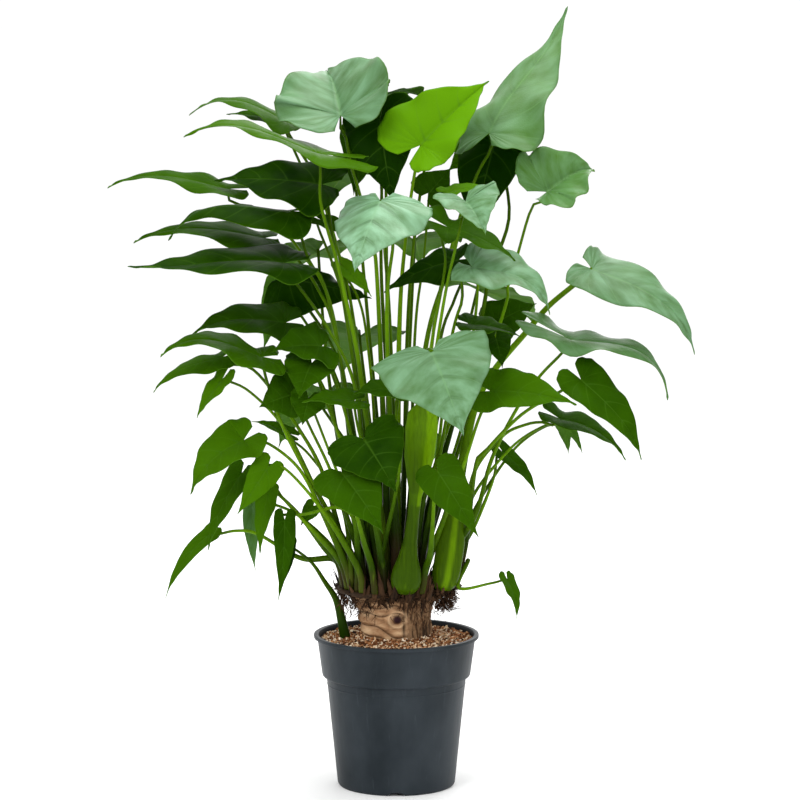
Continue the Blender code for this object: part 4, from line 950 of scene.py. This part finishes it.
# The trunk, in centimetres. Stops are its radius at a height in shares of "radius", and ring scars are
# a height, a tilt, the direction of the tilt in degrees and a depth. The bud is given by x and height.
trunk = {"radius": 5.8, "foot": 15.0, "fineFrom": 23.0, "crown": 33.0, "sides": 220, "levels": 120,
         "stops": [(15.0, 0.95), (24.2, 0.93), (25.5, 0.95), (26.8, 0.93), (28.1, 0.97), (29.2, 0.98),
                   (30.3, 1.06), (31.2, 1.2), (32.0, 1.48), (32.6, 1.72), (33.0, 1.66)],
         "scars": [(25.0, 0.9, 200, 0.3), (26.5, 1.1, 195, 0.34), (28.4, 1.2, 200, 0.36),
                   (30.0, 1.0, 190, 0.34), (31.2, 0.7, 225, 0.3)],
         "scarWidth": 0.42, "cutBelow": 0.55, "cutWidth": 0.11, "cutDepth": 0.7, "hollowWidth": 0.2,
         "bud": (0.15, 28.3), "budRing": 1.3, "budSize": 0.78, "ringWidth": 0.3, "ringHeight": 0.3,
         "budHeight": 0.35, "budWidth": 0.5, "moat": 0.9, "moatDepth": 0.25, "moatWidth": 0.2,
         "swirl": 1.0, "swirlReach": 1.9, "seam": 1.25, "seamWidth": 0.22, "seamDepth": 0.6,
         "fibreFrom": 0.4, "fibreSharp": 4, "backFibre": 0.6, "frontLess": 0.5,
         "bareFrom": 24.0, "bareOver": 3.0, "rough": 0.16, "strands": 0.4, "raggedFrom": 30.6,
         "raggedOver": 1.2, "ragged": 2.5, "crownShadeFrom": 31.2, "crownShadeOver": 0.9, "crownShadeRough": 0.9,
         "crownShade": 0.94, "waves": [(0.05, 2, 0.6, 0), (0.045, 5, 0, 0.6)], "wobble": 0.12, "wobbles": 7}


def bump(away, width, power=2):
    return math.exp(-(away / width) ** power)


def clamped(value):
    # kept from 0 to 1
    return min(1.0, max(0.0, value))


def trunkMesh():
    heights = np.append(trunk["foot"], np.linspace(trunk["fineFrom"], trunk["crown"], trunk["levels"]))
    points, paint = [], {"fibre": [], "groove": [], "bud": [], "ring": []}
    stops = np.array(trunk["stops"])
    seamX, (budX, budHeight) = trunk["seam"], trunk["bud"]
    for height in heights:
        bare = clamped((height - trunk["bareFrom"]) / trunk["bareOver"])
        flare = np.interp(height, stops[:, 0], stops[:, 1])
        for side in range(trunk["sides"]):
            angle = 2 * math.pi * side / trunk["sides"]
            waves = sum(strength * math.sin(count * angle + shift + climb * height)
                        for strength, count, shift, climb in trunk["waves"])
            # the crown spreads less towards the front
            spread = 1 - trunk["frontLess"] * max(0.0, -math.sin(angle)) ** 2 * (flare > 1)
            radius = trunk["radius"] * (1 + (flare - 1) * spread) * (1 + bare * waves)
            x, y = radius * math.cos(angle), radius * math.sin(angle)
            # right of the seam the front is fibrous, left of it ringed, and the back is a bit of both
            right = (x - seamX - trunk["fibreFrom"]) * trunk["fibreSharp"]
            fibrous = 1 / (1 + math.exp(-right)) if y < 0 else trunk["backFibre"]
            ringed = 1 - fibrous
            near = bump(x - budX, trunk["swirlReach"]) if y < 0 else 0.0
            cut = 0.0
            for level, tilt, turn, depth in trunk["scars"]:
                # the rings part round the bud
                swirl = trunk["swirl"] * near * (1 if level > budHeight else -1)
                away = height - level - swirl - tilt * math.cos(angle - math.radians(turn))
                away += trunk["wobble"] * math.sin(trunk["wobbles"] * angle + level)
                below = away + trunk["cutBelow"]
                radius += depth * ringed * bump(away, trunk["scarWidth"])
                cut = max(cut, ringed * bump(below, trunk["cutWidth"]))
                radius -= trunk["cutDepth"] * depth * ringed * bump(below, trunk["hollowWidth"])
            seam = bump(x - seamX, trunk["seamWidth"]) * (y < 0) * bare
            radius -= trunk["seamDepth"] * seam
            away = math.hypot(x - budX, height - budHeight) if y < 0 else 99
            ring = bump(away - trunk["budRing"], trunk["ringWidth"])
            radius += trunk["ringHeight"] * ring + trunk["budHeight"] * bump(away, trunk["budWidth"], 4)
            radius -= trunk["moatDepth"] * bump(away - trunk["moat"], trunk["moatWidth"])
            rough = noise.fractal(Vector((x * 0.5, y * 0.5, height * 0.9)), 0.9, 2.1, 5)
            strands = noise.fractal(Vector((angle * 14, 0, height * 0.25)), 0.9, 2.1, 3) * fibrous
            ragged = 1 + trunk["ragged"] * clamped((height - trunk["raggedFrom"]) / trunk["raggedOver"])
            radius += bare * (trunk["rough"] * rough * ragged + trunk["strands"] * strands)
            points.append((radius * math.cos(angle), radius * math.sin(angle), height))
            # painted shade: darker towards the top under the crown, and in the ring cuts, the seam and the
            # fibre hollows; all of it goes to the groove value
            high = height + trunk["crownShadeRough"] * rough - trunk["crownShadeFrom"]
            crownShade = clamped(high / trunk["crownShadeOver"]) * trunk["crownShade"]
            hollow = clamped(-4.0 * strands - 0.1)
            paint["fibre"].append(fibrous)
            paint["groove"].append(clamped(max(cut * 0.8, seam * 0.9, hollow * 0.85, crownShade)))
            paint["bud"].append(bump(away, trunk["budSize"], 6))
            paint["ring"].append(ring)
    return points, ringFaces(len(heights), trunk["sides"]), paint


print("carving the trunk")
points, faces, paint = trunkMesh()
newPiece("fineTrunk", points, faces, [barkFinish()], "rhizome_bark", ["rhizome"], **paint)

# Husks on the crown and roots under it: each pair is a range in centimetres, "out" is how far a scrap
# leads outward, "aside" how far to either side and "up" how far up
husks = {"seed": 5, "steps": 7, "thick": 0.035, "spread": 9.7, "spreadFrom": 0.25, "frontPull": 0.2,
         "curl": (-0.5, 0.9), "ragged": (0.55, 1.15), "jag": 0.05, "cup": 0.35, "tip": 0.02,
         "pointed": 1.8,
         "standing": {"count": 260, "height": (31.6, 32.8), "out": (-0.2, 0.9), "aside": 0.8,
                      "up": (0.8, 4.4), "width": (0.35, 1.4)},
         "hanging": {"count": 260, "height": (31.9, 33.2), "out": (-2.6, 0.1), "aside": 1.0,
                     "up": (-2.4, 0.6), "width": (0.25, 0.95), "far": (8.6, 10.1)}}
roots = {"count": 420, "height": (28.5, 32.6), "far": 6.0, "flare": 0.95, "out": (-0.2, 1.2),
         "aside": 1, "up": (-2.2, 2.0), "radius": (0.03, 0.08), "bend": 0.3, "end": 0.35}
clump = {"count": 420, "far": (6.4, 9.2), "depth": (-5, 1), "height": (29.6, 32.8), "inward": -0.6,
         "longest": 1.6, "longestLeft": 0.7, "aside": 1.2, "up": (-1.4, 1.0), "radius": (0.04, 0.13)}


def ribbon(foot, reach, width, out, draw):
    # a thin pointed scrap of leaf base, cupped round what it grew on
    aroundIt = np.cross(out, [0, 0, 1.0])
    steps, places = husks["steps"], (-1, -0.5, 0, 0.5, 1)
    wide, points, faces = len(places), [], []
    curl = draw.uniform(*husks["curl"])
    for step in range(steps + 1):
        share = step / steps
        spot = foot + reach * share + out * curl * share * share
        half = width / 2 * (1 - share ** husks["pointed"]) * draw.uniform(*husks["ragged"]) + husks["tip"]
        for place in places:
            cup = husks["cup"] * half * (1 - place * place)
            jag = draw.uniform(-husks["jag"], husks["jag"])
            points.append(spot + aroundIt * place * half + out * (cup + jag))
    count = len(points)
    points += [point - out * husks["thick"] for point in points]
    for step in range(steps):
        for column in range(wide - 1):
            a = step * wide + column
            b = a + count
            faces += [(a, a + 1, a + wide + 1, a + wide), (b, b + wide, b + wide + 1, b + 1)]
    rim = list(range(wide)) + [wide * n + wide - 1 for n in range(1, steps + 1)]
    rim += [wide * steps + n for n in range(wide - 2, -1, -1)] + [wide * n for n in range(steps - 1, 0, -1)]
    for a, b in zip(rim, rim[1:] + rim[:1]):
        faces.append((b, a, a + count, b + count))
    return np.array(points), faces


def strand(foot, reach, radius, draw, steps=5, sides=4):
    # a bent thread that thins towards its end
    bend = np.array([draw.uniform(-1, 1) for _ in range(3)]) * np.linalg.norm(reach) * roots["bend"]
    path = np.array([foot + reach * share + bend * math.sin(math.pi * share)
                     for share in np.linspace(0, 1, steps + 1)])
    return tube(path, radius * np.linspace(1, roots["end"], steps + 1), sides)


def painting(counts, draw, low, high):
    return np.concatenate([np.full(count, draw.uniform(low, high)) for count in counts])


def pulled(angle):
    # the front of the crown is nearer its middle
    return 1 - husks["frontPull"] * max(0.0, -math.sin(angle)) ** 2


print("adding husks, roots and fibres")
draw = random.Random(husks["seed"])
scraps, threads = [], []
for kind in (husks["standing"], husks["hanging"]):
    for number in range(kind["count"]):
        angle = draw.uniform(0, 2 * math.pi)
        out = outward(angle)
        if "far" in kind:
            far = draw.uniform(*kind["far"]) * pulled(angle)
        else:
            far = husks["spread"] * math.sqrt(draw.uniform(husks["spreadFrom"], 1.0))
        foot = out * far + [0, 0, draw.uniform(*kind["height"])]
        reach = out * draw.uniform(*kind["out"])
        reach = reach + [draw.uniform(-kind["aside"], kind["aside"]), 0, draw.uniform(*kind["up"])]
        scraps.append(ribbon(foot, reach, draw.uniform(*kind["width"]), out, draw))
points, faces, counts = gathered(scraps)
newPiece("crownHusks", points, faces, [fibreFinish("driedHusk", "husk")], "rhizome_bark",
         tone=painting(counts, draw, 0.0, 0.7))
for number in range(roots["count"]):
    angle = draw.uniform(0, 2 * math.pi)
    height = draw.uniform(*roots["height"])
    far = (roots["far"] + (height - roots["height"][0]) * roots["flare"]) * pulled(angle)
    reach = outward(angle) * draw.uniform(*roots["out"])
    aside = [draw.uniform(-roots["aside"], roots["aside"]) for _ in range(2)]
    reach = reach + [*aside, draw.uniform(*roots["up"])]
    foot = outward(angle) * far + [0, 0, height]
    threads.append(strand(foot, reach, draw.uniform(*roots["radius"]), draw))
for number in range(clump["count"]):
    # two of three grow on the right, where they are longer
    side = 1 if number % 3 else -1
    foot = np.array([side * draw.uniform(*clump["far"]), draw.uniform(*clump["depth"]),
                     draw.uniform(*clump["height"])])
    longest = clump["longest"] if side > 0 else clump["longestLeft"]
    reach = np.array([side * draw.uniform(clump["inward"], longest),
                      draw.uniform(-clump["aside"], clump["aside"]), draw.uniform(*clump["up"])])
    threads.append(strand(foot, reach, draw.uniform(*clump["radius"]), draw))
points, faces, counts = gathered(threads)
newPiece("rootFibres", points, faces, [fibreFinish("rootFibre", "root")], "rhizome_bark",
         tone=painting(counts, draw, 0.1, 0.8))

# The soil, its chips and its straws: radii, heights and sizes in centimetres, pairs are ranges
soil = {"level": 23.8, "rim": 12.35, "middle": 4.6, "sides": 150, "rings": 46, "seed": 3,
        "below": [(9.2, 1.3), (11.1, 18.0)], "rise": 0.3, "heap": 0.8, "heapAt": 5.0, "heapReach": 2.4,
        "rough": 0.28}
chipForm = {"count": 3600, "from": 5.4, "to": 12.3, "lift": (-0.1, 0.3), "size": (0.18, 0.62),
            "bigEvery": 12, "bigSize": (0.6, 1.1), "sides": (4, 5, 6), "wide": (0.4, 0.9),
            "thick": (0.25, 0.55), "corner": (0.7, 1.1), "top": 0.8, "uneven": (0.7, 1.2), "tip": 0.6,
            "tones": (0.9, 1.1)}
strawForm = {"count": 90, "far": (6.2, 11.4), "to": 12.2, "length": (0.8, 2.4), "lying": (0.0, 0.2),
             "leaning": (0.5, 0.95), "leaningEvery": 6, "radius": (0.03, 0.055), "steps": 4,
             "standing": {"count": 5, "x": (7.8, 9.6), "y": (-2.5, 1.5), "aside": (-0.8, 0.4),
                          "up": (1.2, 2.6), "radius": 0.05}}


def heap(radius):
    # how far the soil stands above its level: a little at the rim, more at the trunk
    return soil["rise"] + soil["heap"] * math.exp(-((radius - soil["heapAt"]) / soil["heapReach"]) ** 2)


def soilMesh():
    radii = np.linspace(soil["rim"], soil["middle"], soil["rings"])
    points, rings = [], soil["below"] + [(radius, soil["level"]) for radius in radii]
    for radius, level in rings:
        for side in range(soil["sides"]):
            angle = 2 * math.pi * side / soil["sides"]
            x, y = radius * math.cos(angle), radius * math.sin(angle)
            lift = soil["rough"] * noise.fractal(Vector((x * 0.7, y * 0.7, 3)), 0.8, 2.2, 5) + heap(radius)
            points.append((x, y, level + (lift if level == soil["level"] else 0)))
    return points, ringFaces(len(rings), soil["sides"])


def chip(spot, size, draw):
    # an angular scrap of bark: a flattened body of two uneven rings
    sides = draw.choice(chipForm["sides"])
    turn, tip = draw.uniform(0, 6.3), draw.uniform(-chipForm["tip"], chipForm["tip"])
    wide, thick = size * draw.uniform(*chipForm["wide"]), size * draw.uniform(*chipForm["thick"])
    points = []
    for level in (-0.5, 0.5):
        for side in range(sides):
            angle = 2 * math.pi * side / sides
            reach = draw.uniform(*chipForm["corner"]) * (1.0 if level < 0 else chipForm["top"])
            x, y = size / 2 * reach * math.cos(angle), wide / 2 * reach * math.sin(angle)
            z = thick * level * draw.uniform(*chipForm["uneven"]) + x * math.sin(tip)
            points.append(spot + np.array([x * math.cos(turn) - y * math.sin(turn),
                                           x * math.sin(turn) + y * math.cos(turn), z]))
    return np.array(points), ringFaces(2, sides)


print("spreading the soil")
points, faces = soilMesh()
newPiece("soilBody", points, faces, [soilFinish()], "bark_soil", ["soil"])
draw = random.Random(soil["seed"])
chips, straws = [], []
for number in range(chipForm["count"]):
    far = math.sqrt(draw.uniform(chipForm["from"] ** 2, chipForm["to"] ** 2))
    spot = outward(draw.uniform(0, 2 * math.pi)) * far
    spot[2] = soil["level"] + heap(far) + draw.uniform(*chipForm["lift"])
    size = draw.uniform(*chipForm["size" if number % chipForm["bigEvery"] else "bigSize"])
    chips.append(chip(spot, size, draw))
points, faces, counts = gathered(chips)
tones = np.concatenate([np.full(count, draw.betavariate(*chipForm["tones"])) for count in counts])
newPiece("soilChips", points, faces, [chipFinish()], "bark_soil", smooth=False, tone=tones)
for number in range(strawForm["count"]):
    far, angle = draw.uniform(*strawForm["far"]), draw.uniform(0, 2 * math.pi)
    turn = draw.uniform(0, 2 * math.pi)
    longSide = draw.uniform(*strawForm["length"])
    rise = draw.uniform(*strawForm["lying" if number % strawForm["leaningEvery"] else "leaning"])
    reach = outward(turn) * min(longSide, strawForm["to"] - far) + [0, 0, longSide * rise]
    foot = outward(angle) * far + [0, 0, soil["level"] + heap(far)]
    straws.append(strand(foot, reach, draw.uniform(*strawForm["radius"]), draw, strawForm["steps"]))
standing = strawForm["standing"]
for number in range(standing["count"]):
    foot = [draw.uniform(*standing["x"]), draw.uniform(*standing["y"]), soil["level"] + soil["rise"]]
    reach = np.array([draw.uniform(*standing["aside"]), 0, draw.uniform(*standing["up"])])
    straws.append(strand(np.array(foot), reach, standing["radius"], draw, strawForm["steps"]))
points, faces, counts = gathered(straws)
newPiece("soilStraws", points, faces, [fibreFinish("driedStraw", "straw")], "bark_soil",
         tone=painting(counts, draw, 0.3, 0.9))

# The pot, in centimetres: radii and heights of its section, then what is cut out of it
pot = {"rim": 13.5, "height": 25.0, "step": 18.2, "base": 9.6, "shoulder": 11.45, "bandFoot": 12.15,
       "bandTop": 12.9, "lip": 0.55, "wall": 0.25, "boss": 2.5, "ring": 2.1, "recess": 0.5, "floor": 0.9,
       "line": 16.8, "lineRise": 0.07, "corner": 0.12, "notchWidth": 2.8, "notchHeight": 0.6,
       "notchReach": 1.6, "notches": 4, "drain": 0.5, "drainCircle": 5.0, "drains": 6, "sides": 192,
       "sharp": 40}


def rounded(section, radius, steps=4):
    # the section with each inner corner turned into a small arc
    section = [np.array(spot, float) for spot in section]
    made = [section[0]]
    for before, spot, after in zip(section, section[1:], section[2:]):
        reach = min(radius, np.linalg.norm(before - spot) * 0.4, np.linalg.norm(after - spot) * 0.4)
        a, b = spot + unit(before - spot) * reach, spot + unit(after - spot) * reach
        for step in range(steps + 1):
            t = step / steps
            made.append((1 - t) ** 2 * a + 2 * t * (1 - t) * spot + t * t * b)
    return made + [section[-1]]


def lathe(section, sides):
    points, faces, rings = [], [], []
    for radius, height in section:
        if radius < 1e-6:
            rings.append([len(points)] * sides)
            points.append((0, 0, height))
            continue
        rings.append([len(points) + side for side in range(sides)])
        for side in range(sides):
            angle = 2 * math.pi * side / sides
            points.append((radius * math.cos(angle), radius * math.sin(angle), height))
    for low, high in zip(rings, rings[1:]):
        for side in range(sides):
            ring = [low[side], low[(side + 1) % sides], high[(side + 1) % sides], high[side]]
            faces.append(tuple(at for number, at in enumerate(ring) if at != ring[number - 1]))
    return points, faces


def arch(angle, steps=14):
    # a bar with a round top that leaves a low arch in the foot ring
    wide, high, middle = pot["notchWidth"] / 2, pot["notchHeight"], pot["base"] - pot["ring"] / 2
    turns = [math.pi * n / steps for n in range(steps + 1)]
    section = [(-wide, -1.0)] + [(-wide * math.cos(turn), high * math.sin(turn)) for turn in turns]
    section.append((wide, -1.0))
    points = []
    for far in (middle - pot["notchReach"], middle + pot["notchReach"]):
        for across, height in section:
            points.append((far * math.cos(angle) - across * math.sin(angle),
                           far * math.sin(angle) + across * math.cos(angle), height))
    count = len(section)
    faces = [tuple(range(count)), tuple(range(count, 2 * count))[::-1]]
    for a in range(count):
        b = (a + 1) % count
        faces.append((b, a, a + count, b + count))
    return points, faces


def drain(angle):
    points, faces = lathe([(0, -1), (pot["drain"], -1), (pot["drain"], 3), (0, 3)], 24)
    return np.array(points) + outward(angle) * pot["drainCircle"], faces


def potSide(height):
    return pot["base"] + (pot["shoulder"] - pot["base"]) * height / pot["step"]


def potMesh():
    # the section from the inside floor up, over the rim, down the outer side and under the foot
    p, wall, foot = pot, pot["wall"], pot["base"] - pot["ring"]
    section = [(0, p["floor"]), (p["base"] - wall, p["floor"]), (potSide(p["step"]) - wall, p["step"]),
               (p["bandFoot"] - wall, p["step"] + 0.4), (p["bandTop"] - wall, p["height"] - 0.35),
               (p["bandTop"] - wall + 0.1, p["height"]), (p["rim"], p["height"]),
               (p["rim"], p["height"] - p["lip"]), (p["bandTop"] + 0.05, p["height"] - p["lip"]),
               (p["bandFoot"], p["step"] + 0.3), (p["bandFoot"] - 0.1, p["step"]),
               (potSide(p["step"]), p["step"] - 0.2), (potSide(p["line"] + 0.1), p["line"] + 0.1),
               (potSide(p["line"]) + p["lineRise"], p["line"]), (potSide(p["line"] - 0.15), p["line"] - 0.15),
               (potSide(0.4), 0.4), (p["base"] - 0.2, 0), (foot, 0), (foot, p["recess"]),
               (p["boss"], p["recess"]), (p["boss"], 0), (0, 0)]
    return lathe(rounded(section, p["corner"]), p["sides"])


print("turning the pot")
points, faces = potMesh()
potPiece = newPiece("finePot", points, faces, [potFinish()], "pot_plastic", ["pot"])
cuts = [arch(2 * math.pi * n / pot["notches"]) for n in range(pot["notches"])]
cuts += [drain(2 * math.pi * (n + 0.5) / pot["drains"]) for n in range(pot["drains"])]
cutters = [inScene("potCutter", newMesh("potCutter", *cut)) for cut in cuts]
for tool in cutters:
    step = potPiece.modifiers.new("cut", "BOOLEAN")
    step.operation, step.object = "DIFFERENCE", tool
bpy.context.view_layer.update()
shaped = bpy.data.meshes.new_from_object(potPiece.evaluated_get(bpy.context.evaluated_depsgraph_get()))
potPiece.modifiers.clear()
potPiece.data = shaped
for tool in cutters:
    bpy.data.objects.remove(tool)
shaped.set_sharp_from_angle(angle=math.radians(pot["sharp"]))

# The stage, in metres. Each lamp has its place, what it aims at, its size and its power in watts.
lamps = {"keyLight": ((-2.2, -3.4, 3.4), (0, 0, 0.8), 2.2, 75),
         "topLight": ((0.4, 0.4, 3.4), (0, 0, 0.9), 2.4, 70),
         "fillLight": ((3.0, -3.2, 1.6), (0, 0, 0.7), 2.0, 12),
         "backLight": ((0.8, 3.2, 2.2), (0, 0, 0.9), 2.4, 30)}
stage = {"sky": 1.06, "floor": (0.97, 0.97, 0.97), "fleck": (0.8, 0.8, 0.8), "flecks": 0.05,
         "rough": 0.9, "reach": 40, "sides": 96}
# The camera stands 6 m away with a long lens; lens and sensor are in millimetres
view = {"place": (0, -6.0, 1.425), "aim": (0.006, 0, 0.635), "lens": 167.85, "sensor": 36, "far": 200}


def aimed(made, place, aim):
    made.location = place
    made.rotation_euler = (Vector(aim) - Vector(place)).to_track_quat("-Z", "Y").to_euler()


def floorFinish():
    finish, shader = newFinish("paleFloor", stage["rough"])
    share = times(finish, speckle(finish, 30, 2), stage["flecks"])
    coloured(finish, shader, mixed(finish, share, stage["floor"], stage["fleck"]))
    return finish


print("setting floor, lights and camera")
for name, (place, aim, size, power) in lamps.items():
    lamp = bpy.data.lights.new(name, "AREA")
    lamp.shape, lamp.size, lamp.energy = "DISK", size, power
    aimed(inScene(name, lamp), place, aim)
sky = bpy.data.worlds.new("paleSky")
sky.use_nodes = True
sky.node_tree.nodes["Background"].inputs[0].default_value = (1, 1, 1, 1)
sky.node_tree.nodes["Background"].inputs[1].default_value = stage["sky"]
bpy.context.scene.world = sky
points, faces = lathe([(0, 0), (stage["reach"] / cm, 0)], stage["sides"])
floor = inScene("floor", newMesh("floor", points, [face[::-1] for face in faces]))
floor.data.materials.append(floorFinish())

lens = bpy.data.cameras.new("camera")
lens.lens, lens.sensor_width, lens.clip_end = view["lens"], view["sensor"], view["far"]
camera = inScene("camera", lens)
aimed(camera, view["place"], view["aim"])
bpy.context.scene.camera = camera
bpy.context.scene.view_settings.view_transform = "Standard"

bpy.context.view_layer.update()
print("done")
